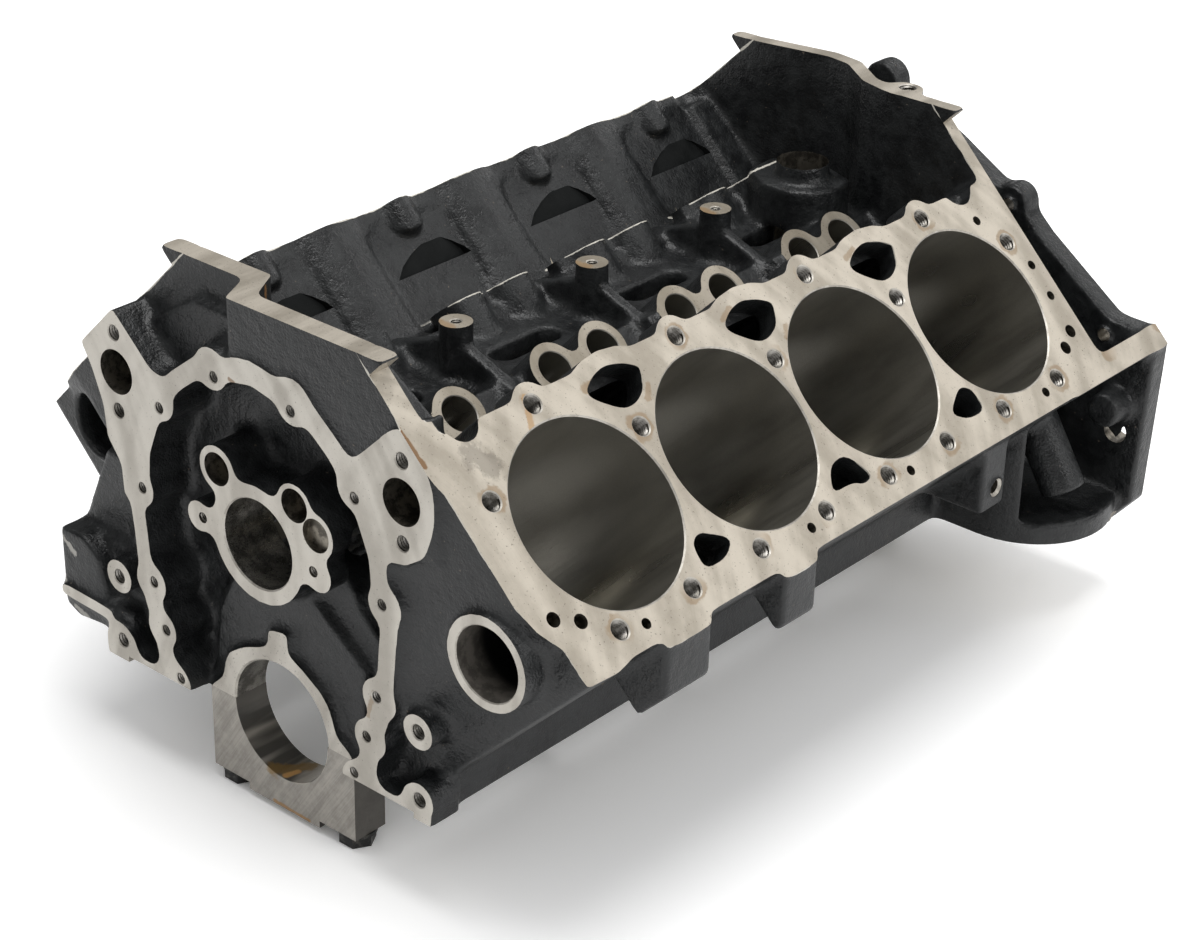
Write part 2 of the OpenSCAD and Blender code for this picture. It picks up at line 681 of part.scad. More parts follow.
// Half outline of a cap, from the parting line down; a four-bolt cap has a sloped shoulder
function cap_side(w, foot) = w > foot
    ? [[w, 0], [w, shoulder_drop(w)], [foot, shoulder_drop(foot)], [foot, -cap_h], [28, -cap_h], [28, -cap_h - 4.5]]
    : [[w, 0], [w, -cap_h], [28, -cap_h], [28, -cap_h - 4.5]];
function shoulder_drop(x) = -shoulder_z - (x - outer_bolt_x + shoulder_z * tan(outer_bolt_tilt)) * tan(outer_bolt_tilt);

module main_bolt(i) color(bolt_steel) {
    s = BOLT_SPOTS[i];
    bolt_frame(s) translate([0, 0, -seat_of(s)]) {
        translate([0, 0, -2]) cylinder(d = bolt_head_af * 1.22, h = 2);
        translate([0, 0, -bolt_head_h]) cylinder(d = bolt_head_af * 2 / sqrt(3), h = bolt_head_h - 2, $fn = 6);
        cylinder(d = bolt_d, h = seat_of(s) + bolt_grip);
    }
}

engine_block();
for (i = [0:4]) main_cap(i);
for (i = [0:len(BOLT_NODES) - 1]) main_bolt(i);
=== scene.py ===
import itertools
import math

import bmesh
import bpy
import numpy as np
import openvdb as vdb
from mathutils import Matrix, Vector
from mathutils.geometry import tessellate_polygon


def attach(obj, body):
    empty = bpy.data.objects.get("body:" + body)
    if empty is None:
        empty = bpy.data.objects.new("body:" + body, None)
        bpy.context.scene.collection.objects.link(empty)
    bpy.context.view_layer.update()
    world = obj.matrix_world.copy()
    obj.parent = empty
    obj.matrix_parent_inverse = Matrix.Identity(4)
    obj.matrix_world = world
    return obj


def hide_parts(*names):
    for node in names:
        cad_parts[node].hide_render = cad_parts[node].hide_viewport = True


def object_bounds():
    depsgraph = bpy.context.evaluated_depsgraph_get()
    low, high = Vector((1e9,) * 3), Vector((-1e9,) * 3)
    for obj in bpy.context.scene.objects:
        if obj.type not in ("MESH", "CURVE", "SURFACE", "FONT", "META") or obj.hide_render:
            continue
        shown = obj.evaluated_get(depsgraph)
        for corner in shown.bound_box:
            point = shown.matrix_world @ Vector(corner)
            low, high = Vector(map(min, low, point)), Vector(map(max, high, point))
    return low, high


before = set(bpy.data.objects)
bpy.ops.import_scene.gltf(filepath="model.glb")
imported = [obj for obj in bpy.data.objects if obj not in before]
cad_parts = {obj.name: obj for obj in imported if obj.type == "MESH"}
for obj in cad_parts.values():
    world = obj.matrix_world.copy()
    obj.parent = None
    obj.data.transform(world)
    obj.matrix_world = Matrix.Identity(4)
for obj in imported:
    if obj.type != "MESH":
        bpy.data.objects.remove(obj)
cad_low, cad_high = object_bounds()

# Lengths are millimetres in the shapes and the lists of stains, and metres in the nodes and the
# studio. +Y runs along the crank to the rear, +X is the near bank, +Z is up, and the crank axis
# is at x = z = 0.
MM = 0.001
HALF = math.sqrt(0.5)

# The casting and its bores
BORE_R = 52.39
PITCH = 111.76
DECK_H = 229.24
FIRST_BORE_Y = 82.3
BANK_OFFSET = 22.35
MAIN_R = 36.075
CAM_R = 25.65
CAM_H = 114.83
BLOCK_LEN = 554
RAIL_Z = -3.6
INNER_HALF_W = 112
WALL_TOP_Z = 249
STANDPIPE_Z = 193
POCKET_V = 66
SCOOP_DEEP = 5
SCOOP_TOP = 27.7
DISTRIBUTOR_AT = (0, 458)
DISTRIBUTOR_Z = 189
DISTRIBUTOR_R = 16
LIFTER_TILT = math.radians(40.9)
LIFTER_REACH = 74
LIFTER_BOSS_R = 16.4
LIFTER_R = 10.7
DECK_PLATE = 14
# How near the crank axis the cylinder bores end, and the iron round them
BORE_END = 78
BARREL_END = 97
REAR_EDGE = 491.5
FLANGE_T = 15

BORE_Y = [FIRST_BORE_Y + i * PITCH for i in range(4)]
FAN_Y = [y + PITCH / 2 for y in BORE_Y[:3]]
BANK_MID_Y = FIRST_BORE_Y + 1.5 * PITCH
THROW_Y = FIRST_BORE_Y + BANK_OFFSET / 2
WEB_Y = [THROW_Y + (i + 0.5) * PITCH for i in range(3)]
WEB_T = 23
REAR_CAP_Y = THROW_Y + 3.5 * PITCH - WEB_T / 2 - 6
CAP_FROM = [11.7] + [y - WEB_T / 2 for y in WEB_Y] + [REAR_CAP_Y]
CAP_T = [22.5, WEB_T, WEB_T, WEB_T, 44]
LIFTER_Y = sorted([BANK_MID_Y + s * d for s in (-1, 1) for d in (33.6, 73, 148.3, 187.4)])
# Where the rims of the lifter bosses are bared, along the bank
BOSS_SPANS = [(164, 194.5), (199, 232), (265, 299), (305, 334), (380, 414), (419, 449)]

# Holes in a deck, as y and reach across it towards the valley, the bolts also with their depth
HEAD_BOLTS = (
    [(y, 63.2, 18) for y in BORE_Y]
    + [(THROW_Y - 11.2 + (i - 0.5) * PITCH, 28.6, 44) for i in range(5)]
    + [(y + s * PITCH / 4, -56.2, 44) for y in BORE_Y for s in (-1, 1)]
)
SMALL_DECK_HOLES = [
    (71, -60), (205.4, -60), (295, -60), (429.6, -60),
    (459.6, 47.9), (481.4, 9.6), (481.4, -11.8),
]
DECK_DOWELS = [(21, -36), (479.3, -36), (35.4, -43.2), (467.1, -43.2)]
# Outlines of the water ports in a deck, round the middle between two bores
FAN = [
    (-4.5, 40.4), (5.5, 40.4), (15, 45), (20, 54), (20.4, 57.5), (12, 62.5), (0, 65.4),
    (-11, 63), (-20.3, 57.5), (-19.5, 52),
]
TRIANGLE = [(-14, -51.5), (-13, -38), (-8, -34), (-2, -34), (13.8, -44), (3, -51.5)]
SLANTED = [(-17.5, -50), (-8, -36), (7, -34.5), (17.5, -52), (8, -54), (0, -50)]
# The machined ring round the upper half of the front main bore, in x and z
WEB_RING = [
    (-56, 0), (-50, 5), (-45, 10), (-43, 20), (-40, 27), (-33, 32), (-27, 36), (-12, 42), (-7, 45),
    (-7.5, 55), (7.5, 58), (6, 45), (15, 42), (32, 32), (38, 25), (41, 16), (43, 9), (50, 5.5), (56, 0),
]
# Pockets in the valley walls and the scoop in them, as y and depth below the deck
POCKET = [
    (-34, 72), (-34, 22), (-31, 13), (-23, 8), (-13, 8), (-11, 16), (-6, 21), (6, 21), (11, 16), (13, 8),
    (24, 9), (31, 14), (34, 23), (34, 72),
]
SCOOP = [
    (-26, 43.7), (-18, 37), (-8, 32), (2, 28.7), (10, 27.7), (19, 28.7), (25, 33), (31, 39), (33, 43.7),
]
# Holes in the front and rear faces, as x and z, alike on both sides but for the side gallery and plug
TIMING_BOLTS = [(28.5, 201.8), (73, 169), (91, 115), (86, 58.4), (78, 31), (68, 4.2)]
PUMP_BOLTS = [(106.6, 201.8), (106.6, 156)]
SIDE_BOLTS = [(115.7, 50.3), (116, 9)]
THRUST_BOLT = (42, 115)
WATER_PORT = (106.3, 179)
WATER_PORT_R = 12.85
GALLERY = (29.2, 148.5)
SIDE_GALLERY = (44.5, 136.8)
GALLERY_R = 9.5
PLUG_AT = (163, 110.4)
PLUG_R = 20.64
BELL_BOLTS = [(101, 176), (178, 112), (192, 70), (178, -10)]
BELL_BOLT_R = 4.3
BELL_DOWEL = (192, 50)
BELL_DOWEL_R = 7.9
MAIN_BOLT_X = 46
MAIN_BOLT_R = 5.8
MAIN_BOLT_DEEP = 42
OUTER_BOLT_X = 74
OUTER_BOLT_TILT = math.radians(16)

# Tapped holes, as their radius and the pitch of the thread
HEAD_SCREW = (5.3, 1.81)
PUMP_SCREW = (4.3, 1.59)
COVER_SCREW = (3.2, 1.27)
PIPE_SCREW = (3.0, 1.27)
WALL_HOLE_AT = (47, 497)

# How far machined faces and holes are carried past themselves before the casting is rounded
OVERRUN = 12
VOXEL = 1.6
# The level set holds true distances this far from the surface
LEVEL_REACH = 9.0
HOLLOW_ROUND = 3.4
EDGE_ROUND = 1.3
TRIANGLE_BUDGET = 155000
# How far the thinned skin may lie off the level set and still be shaded like it
SKIN_TOLERANCE = 0.6
FLAT_FINISHES = ("front_face", "deck_face", "wall_top", "boss_top")


# Places and plain solids

class Place:
    """A local frame in the block: a and b lie in a machined face, c points out of it."""

    def __init__(self, origin, a, b, mirrored=False):
        self.origin = np.array(origin, float)
        self.a = np.array(a, float)
        self.b = np.array(b, float)
        self.c = np.cross(self.a, self.b)
        self.mirrored = mirrored

    def out(self, local):
        """Local points as points of the block."""
        local = np.asarray(local, float)
        points = self.origin + local[:, :1] * self.a + local[:, 1:2] * self.b + local[:, 2:3] * self.c
        if self.mirrored:
            points = points * (-1, 1, 1) + (0, BANK_OFFSET, 0)
        return points

    def into(self, points):
        """Points of the block as local points."""
        if self.mirrored:
            points = (points - (0, BANK_OFFSET, 0)) * (-1, 1, 1)
        away = points - self.origin
        return np.stack([away @ self.a, away @ self.b, away @ self.c], 1)

    def solid(self, local, triangles, rim=None):
        """A solid from local points, whose triangles are turned over on the mirrored bank."""
        return Solid(self.out(local), triangles[:, ::-1] if self.mirrored else triangles, rim)


def upright(y):
    """Frame on a face across the crank axis, looking to the front."""
    return Place((0, y, 0), (1, 0, 0), (0, 0, 1))


FRONT = upright(0)
REAR = Place((0, BLOCK_LEN, 0), (-1, 0, 0), (0, 0, 1))
CRANK_FACE = upright(CAP_FROM[0])


def deck_place(far):
    return Place((HALF * DECK_H, 0, HALF * DECK_H), (0, 1, 0), (-HALF, 0, HALF), far)


def lifter_place(y, far):
    """Frame on the top of a lifter boss, with c along the lifter."""
    s, c = math.sin(LIFTER_TILT), math.cos(LIFTER_TILT)
    return Place((s * LIFTER_REACH, y, CAM_H + c * LIFTER_REACH), (0, 1, 0), (-c, 0, s), far)


def level(z, down=False):
    """Frame on a horizontal face at height z, looking up or down."""
    return Place((0, 0, z), (1, 0, 0), (0, -1 if down else 1, 0))


def wall_place(v, far):
    """Frame on a bank's valley wall: a along y, b down from the deck, c into the valley."""
    deck = deck_place(far)
    return Place(deck.origin + v * deck.b, deck.a, -deck.c, far)


# On both decks a runs along y and b to the valley
DECKS = [deck_place(False), deck_place(True)]


def circle(r, at=(0, 0), steps=32):
    turn = np.arange(steps) * 2 * math.pi / steps
    return np.stack([at[0] + r * np.cos(turn), at[1] + r * np.sin(turn)], 1)


def rectangle(x0, y0, x1, y1):
    return np.array([(x0, y0), (x1, y0), (x1, y1), (x0, y1)], float)


def shifted(outline, at, flip=False):
    outline = np.array(outline, float)
    if flip:
        outline = outline[::-1] * (-1, 1)
    return outline + at


def turned_area(outline):
    """Twice the outline's area, positive where it runs anticlockwise."""
    after = np.roll(outline, -1, 0)
    return np.sum(outline[:, 0] * after[:, 1] - after[:, 0] * outline[:, 1])


def grown(outline, by):
    """The outline with each edge moved out by that much."""
    outline = np.asarray(outline, float)
    step = np.roll(outline, -1, 0) - outline
    step /= np.linalg.norm(step, axis=1, keepdims=True)
    out = np.stack([step[:, 1], -step[:, 0]], 1) * np.sign(turned_area(outline))
    before = np.roll(out, 1, 0)
    corner = 1 + np.sum(out * before, 1, keepdims=True)
    return outline + (out + before) * by / np.maximum(corner, 0.5)


def curved(outline, rounds=2):
    """The outline with its corners cut away again and again, which leaves soft curves."""
    outline = np.asarray(outline, float)
    for _ in range(rounds):
        after = np.roll(outline, -1, 0)
        outline = np.stack([outline * 0.78 + after * 0.22, outline * 0.22 + after * 0.78], 1).reshape(-1, 2)
    return outline


class Solid:
    """Closed mesh as points and triangles. Rim marks the triangles that cut a bright chamfer."""

    def __init__(self, points, triangles, rim=None):
        self.points = np.asarray(points, float)
        self.triangles = np.asarray(triangles, int)
        self.rim = np.zeros(len(self.triangles), bool) if rim is None else rim


def joined(solids):
    starts = np.cumsum([0] + [len(s.points) for s in solids[:-1]])
    return Solid(
        np.concatenate([s.points for s in solids]),
        np.concatenate([s.triangles + n for s, n in zip(solids, starts)]),
        np.concatenate([s.rim for s in solids]),
    )


def wall_between(start, end, n):
    """Triangles from edges of a lower outline to the upper one, whose points come n later."""
    return np.concatenate([np.stack([start, end, end + n], 1), np.stack([start, end + n, start + n], 1)])


def layers(outline, *heights):
    """The outline's points at each height along c, one layer after another."""
    return np.concatenate([np.c_[outline, np.full(len(outline), c)] for c in heights])


def prism(place, outline, low, high):
    """The outline, in the place's a and b, as a solid between two heights along c."""
    outline = np.asarray(outline, float)
    if turned_area(outline) < 0:
        outline = outline[::-1]
    n = len(outline)
    cap = np.array(tessellate_polygon([[Vector((x, y, 0)) for x, y in outline]]))
    first = outline[cap]
    turn = np.cross(first[:, 1] - first[:, 0], first[:, 2] - first[:, 0])
    cap[turn < 0] = cap[turn < 0][:, ::-1]
    i = np.arange(n)
    triangles = np.concatenate([cap[:, ::-1], cap + n, wall_between(i, (i + 1) % n, n)])
    return place.solid(layers(outline, low, high), triangles)


def drill(place, at, r, low, high, steps, chamfer, top=0):
    """A round cutter along c that widens at a face at height top."""
    profile = [(low, r), (top - chamfer, r), (top + 1, r + chamfer + 1), (high, r + chamfer + 1)]
    local = np.concatenate([layers(circle(radius, at, steps), c) for c, radius in profile])
    i = np.arange(steps)
    band = wall_between(i, (i + 1) % steps, steps)
    fan = np.stack([0 * i[1:-1], i[1:-1], i[2:]], 1)
    triangles = np.concatenate([fan[:, ::-1], fan + 3 * steps] + [band + k * steps for k in range(3)])
    rim = np.zeros(len(triangles), bool)
    # The second of the three bands is the chamfer
    rim[2 * len(fan) + len(band):2 * len(fan) + 2 * len(band)] = True
    return place.solid(local, triangles, rim)


def plate(place, x0, y0, x1, y1, high, cell=24):
    """A box on the place's face, with that face in small cells so that no cut face has a hole in it."""
    xs = np.linspace(x0, x1, int((x1 - x0) / cell) + 2)
    ys = np.linspace(y0, y1, int((y1 - y0) / cell) + 2)
    nx, ny = len(xs), len(ys)
    grid = np.stack(np.meshgrid(xs, ys, indexing="ij"), 2).reshape(-1, 2)
    index = np.arange(nx * ny).reshape(nx, ny)
    a, b = index[:-1, :-1].ravel(), index[1:, :-1].ravel()
    c, d = index[1:, 1:].ravel(), index[:-1, 1:].ravel()
    face = np.concatenate([np.stack([a, b, c], 1), np.stack([a, c, d], 1)])
    ring = np.concatenate([index[:, 0], index[-1, 1:], index[-2::-1, -1], index[0, -2:0:-1]])
    n = nx * ny
    triangles = np.concatenate([face[:, ::-1], face + n, wall_between(ring, np.roll(ring, -1), n)])
    return place.solid(layers(grid, 0, high), triangles)


def rows_of(items, key, width=1):
    """One property of mesh items as an array, with a row for each item where it has a width."""
    values = np.empty(len(items) * width, np.int32 if key in WHOLE_NUMBERS else np.float32)
    items.foreach_get(key, values)
    return values.reshape(-1, width) if width > 1 else values


WHOLE_NUMBERS = ("vertices", "vertex_index", "material_index", "loop_total")


# The CAD solid of the casting, welded

def cad_solid(name):
    """Triangles of a CAD node in millimetres, with its corners welded."""
    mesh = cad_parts[name].data
    mesh.calc_loop_triangles()
    points = rows_of(mesh.vertices, "co", 3).astype(float) / MM
    welded, back = np.unique(np.round(points, 3), axis=0, return_inverse=True)
    corners = back.reshape(-1)[rows_of(mesh.loop_triangles, "vertices", 3)]
    alive = (corners != np.roll(corners, 1, 1)).all(1)
    return Solid(welded, corners[alive])


def raised_face(solid, place, inset=1.0, wanted=None):
    """The solid's flat faces at the place's own level, carried out past it."""
    local = place.into(solid.points)
    t = solid.triangles
    on = (np.abs(local[t, 2]) < 0.02).all(1)
    u = local[t[:, 1]] - local[t[:, 0]]
    v = local[t[:, 2]] - local[t[:, 0]]
    facing = np.cross(u, v)[:, 2] * (-1 if place.mirrored else 1)
    on &= facing > 0
    if wanted is not None:
        on &= wanted(local[t].mean(1))
    t = t[on]
    if not len(t):
        return None
    edges = np.concatenate([t[:, [0, 1]], t[:, [1, 2]], t[:, [2, 0]]])
    keys = set(map(tuple, edges))
    rim = np.array([e for e in map(tuple, edges) if (e[1], e[0]) not in keys])
    used, back = np.unique(t, return_inverse=True)
    t = back.reshape(-1, 3)
    rim = np.searchsorted(used, rim)
    n = len(used)
    flat = local[used]
    low, high = flat.copy(), flat.copy()
    low[:, 2] = -inset
    high[:, 2] = OVERRUN
    triangles = np.concatenate([t[:, ::-1], t + n, wall_between(rim[:, 0], rim[:, 1], n)])
    return Solid(place.out(np.concatenate([low, high])), triangles)


# Cuts: what each one takes away, and what it fills before the casting is rounded

class Cut:
    """A cutter along c, its finish and the filler that stands in for it while the casting is rounded."""

    def __init__(self, finish, place, outline, depth, fill=None, above=OVERRUN + 4, swell=0.6):
        self.finish = finish
        self.solid = prism(place, outline, -depth, above)
        deep = depth if fill is None else fill
        self.filler = None if deep == 0 else prism(place, grown(outline, swell), -deep, OVERRUN)


def hole(finish, place, at, r, depth, steps=24, chamfer=0.0, top=0, **more):
    cut = Cut(finish, place, circle(r, at, steps), depth, **more)
    if chamfer:
        cut.solid = drill(place, at, r, -depth, OVERRUN + 4, steps, chamfer, top)
    return cut


def deck_cuts(deck):
    """The bores, bolt and dowel holes and water ports of a deck."""
    deep, fill = DECK_H - BORE_END, DECK_H - BARREL_END
    bores = [hole("bore", deck, (y, 0), BORE_R, deep, 96, 0.8, fill=fill) for y in BORE_Y]
    holes = [hole("thread", deck, (y, v), HEAD_SCREW[0], deep, 24, 0.7) for y, v, deep in HEAD_BOLTS]
    holes += [hole("drilled", deck, at, 3, 22, 16) for at in SMALL_DECK_HOLES]
    holes += [hole("drilled", deck, at, 4.1, 12, 20) for at in DECK_DOWELS]
    ports = [shifted(FAN, (y, 0)) for y in FAN_Y]
    ports += [shifted(TRIANGLE, (FAN_Y[0], 0)), shifted(SLANTED, (FAN_Y[1], 0))]
    ports.append(shifted(TRIANGLE, (FAN_Y[2], 0), True))
    slots = [Cut("cast", deck, curved(port), DECK_PLATE + 3, fill=DECK_PLATE) for port in ports]
    return bores + holes + slots


def lifter_cuts(far):
    """Tops and holes of a bank's lifter bosses."""
    places = [lifter_place(y, far) for y in LIFTER_Y]
    tops = [Cut("ring", place, circle(LIFTER_BOSS_R + 1.6, steps=48), 0, fill=0) for place in places]
    deep, fill = LIFTER_REACH - 12, LIFTER_REACH - 29
    return tops, [hole("bore", place, (0, 0), LIFTER_R, deep, 40, 0.5, fill=fill) for place in places]


def lifter_bars(far):
    """Flat necks between the bosses of a pair, and before the last two pairs of the far bank."""
    bars = []
    for i in range(0, len(LIFTER_Y), 2):
        start, end = LIFTER_Y[i:i + 2]
        bars.append((lifter_place(start, far), rectangle(0, -13, end - start, 4)))
        if far and i > 2:
            bars.append((lifter_place(start - 26, far), rectangle(0, -6, 30, 6)))
    return bars


def front_cuts():
    """The holes of the timing rim, pump pads and galleries, and the core plug's hole."""
    cuts = []
    for s in (-1, 1):
        cuts += [hole("thread", FRONT, (s * x, z), COVER_SCREW[0], 20, 16, 0.5) for x, z in TIMING_BOLTS]
        cuts += [hole("thread", FRONT, (s * x, z), PUMP_SCREW[0], 28, 20, 0.6) for x, z in PUMP_BOLTS]
        cuts += [hole("thread", FRONT, (s * x, z), PUMP_SCREW[0], 24, 20, 0.6) for x, z in SIDE_BOLTS]
        cuts.append(hole("drilled", FRONT, (s * WATER_PORT[0], WATER_PORT[1]), WATER_PORT_R, 34, 40))
        cuts.append(hole("thread", FRONT, (s * THRUST_BOLT[0], THRUST_BOLT[1]), COVER_SCREW[0], 18, 16))
        cuts.append(hole("drilled", FRONT, (s * GALLERY[0], GALLERY[1]), GALLERY_R, 14, 36))
    cuts.append(hole("drilled", FRONT, SIDE_GALLERY, GALLERY_R, 4, 36))
    cuts.append(hole("core", FRONT, PLUG_AT, PLUG_R, 32, 48, 0.6))
    return cuts


def rear_cuts():
    """The holes of the bell housing flange, and the seat of the plug behind the cam."""
    cuts = []
    for s in (-1, 1):
        cuts += [hole("drilled", REAR, (s * x, z), BELL_BOLT_R, FLANGE_T + 4, 20) for x, z in BELL_BOLTS]
        cuts.append(hole("drilled", REAR, (s * BELL_DOWEL[0], BELL_DOWEL[1]), BELL_DOWEL_R, FLANGE_T, 32))
    cuts.append(hole("machined", REAR, (0, CAM_H), 28, 8, 48))
    return cuts


def plane_cuts():
    """What lies past each machined face of the block, as (finish, solid)."""
    rail = level(RAIL_Z, True)
    flange_y = BLOCK_LEN - FLANGE_T
    # Each plate stands out past the block on every side
    cuts = [
        ("machined", plate(FRONT, -230, -70, 230, 260, 60)),
        ("machined", plate(REAR, -230, -70, 230, 260, 60)),
        ("machined", plate(rail, -230, -flange_y, 230, 60, 60)),
        ("wall_top", plate(level(WALL_TOP_Z), -130, -50, 130, 600, 60)),
    ]
    cuts += [("deck", plate(deck, -60, -130, 600, 110, 90)) for deck in DECKS]
    cuts.append(("machined", plate(level(0, True), -INNER_HALF_W, -flange_y, INNER_HALF_W, 60, 40)))
    cuts.append(("machined", prism(CRANK_FACE, grown(WEB_RING, 2.5), 0, 20)))
    return cuts


def axis_cuts():
    """The crank and cam bores, and the holes of the main bolts."""
    crank = hole("bearing", FRONT, (0, 0), MAIN_R, BLOCK_LEN + 20, 96, 1, -CAP_FROM[0], fill=0)
    cam = hole("bearing", FRONT, (0, CAM_H), CAM_R, 521.5, 64, 0.8, fill=0)
    bolts = []
    for i, (y, t) in enumerate(zip(CAP_FROM, CAP_T)):
        spots = [(s, MAIN_BOLT_X, 0) for s in (-1, 1)]
        if 0 < i < 4:
            spots += [(s, OUTER_BOLT_X, OUTER_BOLT_TILT) for s in (-1, 1)]
        for s, x, lean in spots:
            down = (-math.sin(s * lean), 0, -math.cos(lean))
            place = Place((s * x, y + t / 2, 0), (0, 1, 0), np.cross(down, (0, 1, 0)))
            bolts.append(hole("drilled", place, (0, 0), MAIN_BOLT_R, MAIN_BOLT_DEEP, 20))
    return [crank], [cam], bolts


def valley_cuts():
    """Tops and holes of the standpipes, and the holes of the distributor, the rear wall and the lug."""
    pipes, platform, back = level(STANDPIPE_Z), level(DISTRIBUTOR_Z), level(WALL_TOP_Z)
    tops = [Cut("ring", pipes, circle(13, (0, y), 40), 0, fill=0) for y in WEB_Y]
    holes = [hole("thread", pipes, (0, y), PIPE_SCREW[0], 63, 20, 0.6, fill=26) for y in WEB_Y]
    holes.append(hole("drilled", platform, DISTRIBUTOR_AT, DISTRIBUTOR_R, DISTRIBUTOR_Z - CAM_H, 64, fill=26))
    holes.append(hole("thread", back, WALL_HOLE_AT, HEAD_SCREW[0], 24, 24, 0.6))
    # The lug in front of the flange on the near side
    lug = Place((184, 417, 54.7), (0, 1, 0), (0, 0, 1))
    holes.append(hole("drilled", lug, (0, 0), 4.3, 20, 20, 0.6))
    return tops, holes


def wall_pockets():
    """What fills the valley walls out to the pocket floors, what is cut above them, and the scoops."""
    fills, cuts, scoops = [], [], []
    for far in (False, True):
        floor = wall_place(POCKET_V, far)
        for y in BORE_Y:
            fills.append(prism(floor, rectangle(y - 35, 12, y + 35, 72), -8, 0))
            cuts.append(prism(floor, curved(shifted(POCKET, (y, 0)), 1), 0, 20))
            scoop = prism(floor, shifted(SCOOP, (y, 0)), 0, 6)
            # The scoop runs out at its top and is deepest at its straight lower edge
            floor_points = len(SCOOP)
            local = floor.into(scoop.points)
            deep = (local[:floor_points, 1] - SCOOP_TOP) / (SCOOP[0][1] - SCOOP_TOP)
            local[:floor_points, 2] = 0.25 - SCOOP_DEEP * deep
            scoop.points = floor.out(local)
            scoops.append(scoop)
        # Columns where the walls meet the rear wall
        end = REAR_EDGE + 4 - (BANK_OFFSET if far else 0)
        fills.append(prism(floor, rectangle(BORE_Y[3] + 35.5, 10, end, 72), -8, 4))
    return fills, cuts, scoops


def bore_fillers():
    """Half discs in each main web, and discs in each cam bearing, up to their own faces."""
    steps = np.linspace(0, math.pi, 40)
    r = MAIN_R + 0.6
    half_disc = [(r * math.cos(t), r * math.sin(t)) for t in steps] + [(-r, -OVERRUN), (r, -OVERRUN)]
    solids = []
    disc = circle(CAM_R + 0.6, (0, CAM_H), 48)
    for i, (y, t) in enumerate(zip(CAP_FROM, CAP_T)):
        start, end = (y + 1, y + t - 1) if i else (0, 34)
        solids.append(prism(upright(y), half_disc, -t + 0.3, -0.3 if i else OVERRUN))
        solids.append(prism(upright(start), disc, start - end, 0 if i else OVERRUN))
    return solids


# The level set that rounds the casting

class Form:
    """Signed distances on one regular grid, in millimetres, negative inside."""

    def __init__(self, low, high, voxel, reach):
        self.voxel = voxel
        self.reach = reach
        self.first = np.floor(np.array(low) / voxel).astype(int)
        self.shape = tuple(np.ceil(np.array(high) / voxel).astype(int) - self.first + 1)
        self.transform = vdb.createLinearTransform(voxelSize=voxel)

    def distances(self, solid):
        grid = vdb.FloatGrid.createLevelSetFromPolygons(
            solid.points.astype(np.float32),
            triangles=solid.triangles.astype(np.uint32),
            transform=self.transform,
            halfWidth=self.reach / self.voxel,
        )
        field = np.empty(self.shape, np.float32)
        grid.copyToArray(field, ijk=tuple(int(i) for i in self.first))
        return field

    def sampled(self, field, points):
        """The field between its grid points."""
        at = points / self.voxel - self.first
        cell = np.clip(np.floor(at).astype(int), 0, np.array(field.shape) - 2)
        part = at - cell
        total = np.zeros(len(points))
        for corner in itertools.product((0, 1), repeat=3):
            weight = np.prod(np.where(corner, part, 1 - part), axis=1)
            i, j, k = (cell + corner).T
            total += weight * field[i, j, k]
        return total

    def slope(self, field, points):
        """Unit vectors along which the field rises fastest."""
        steps = np.eye(3) * self.voxel * 0.8
        rise = [self.sampled(field, points + step) - self.sampled(field, points - step) for step in steps]
        rise = np.stack(rise, 1)
        return rise / np.maximum(np.linalg.norm(rise, axis=1, keepdims=True), 1e-6)

    def surface(self, field):
        grid = vdb.FloatGrid()
        grid.background = self.reach
        grid.transform = self.transform
        grid.copyFromArray(field, ijk=tuple(int(i) for i in self.first))
        points, triangles, quads = grid.convertToPolygons(isovalue=0, adaptivity=0)
        faces = np.concatenate([triangles, quads[:, [0, 1, 2]], quads[:, [0, 2, 3]]]).astype(int)
        return Solid(points, faces)


def blurred(field, sigma):
    """The field averaged over its neighbours with bell-shaped weights, sigma in voxels."""
    reach = int(math.ceil(2.6 * sigma))
    weights = np.exp(-0.5 * (np.arange(-reach, reach + 1) / sigma) ** 2)
    weights = (weights / weights.sum()).astype(np.float32)
    for axis in range(3):
        # Past the grid's edge the field stays as it is there
        ends = [(reach, reach) if i == axis else (0, 0) for i in range(3)]
        wide = np.moveaxis(np.pad(field, ends, mode="edge"), axis, 0)
        count = field.shape[axis]
        field = np.moveaxis(sum(weight * wide[i:i + count] for i, weight in enumerate(weights)), 0, axis)
    return np.ascontiguousarray(field)


# Meshes and cuts in Blender

def object_from(name, solid, finishes=("cast",)):
    """A new object. Its rim triangles get the second finish."""
    mesh = bpy.data.meshes.new(name)
    count = len(solid.triangles)
    mesh.vertices.add(len(solid.points))
    mesh.vertices.foreach_set("co", (solid.points * MM).astype(np.float32).ravel())
    mesh.loops.add(count * 3)
    mesh.loops.foreach_set("vertex_index", solid.triangles.astype(np.int32).ravel())
    mesh.polygons.add(count)
    mesh.polygons.foreach_set("loop_start", np.arange(0, count * 3, 3, dtype=np.int32))
    mesh.polygons.foreach_set("loop_total", np.full(count, 3, np.int32))
    for finish in finishes:
        mesh.materials.append(MATERIALS[finish])
    mesh.polygons.foreach_set("material_index", solid.rim.astype(np.int32))
    mesh.update(calc_edges=True)
    obj = bpy.data.objects.new(name, mesh)
    bpy.context.scene.collection.objects.link(obj)
    return obj


def settle(obj):
    """Applies the modifiers of an object."""
    bpy.context.view_layer.update()
    mesh = bpy.data.meshes.new_from_object(obj.evaluated_get(bpy.context.evaluated_depsgraph_get()))
    old = obj.data
    obj.modifiers.clear()
    obj.data = mesh
    bpy.data.meshes.remove(old)


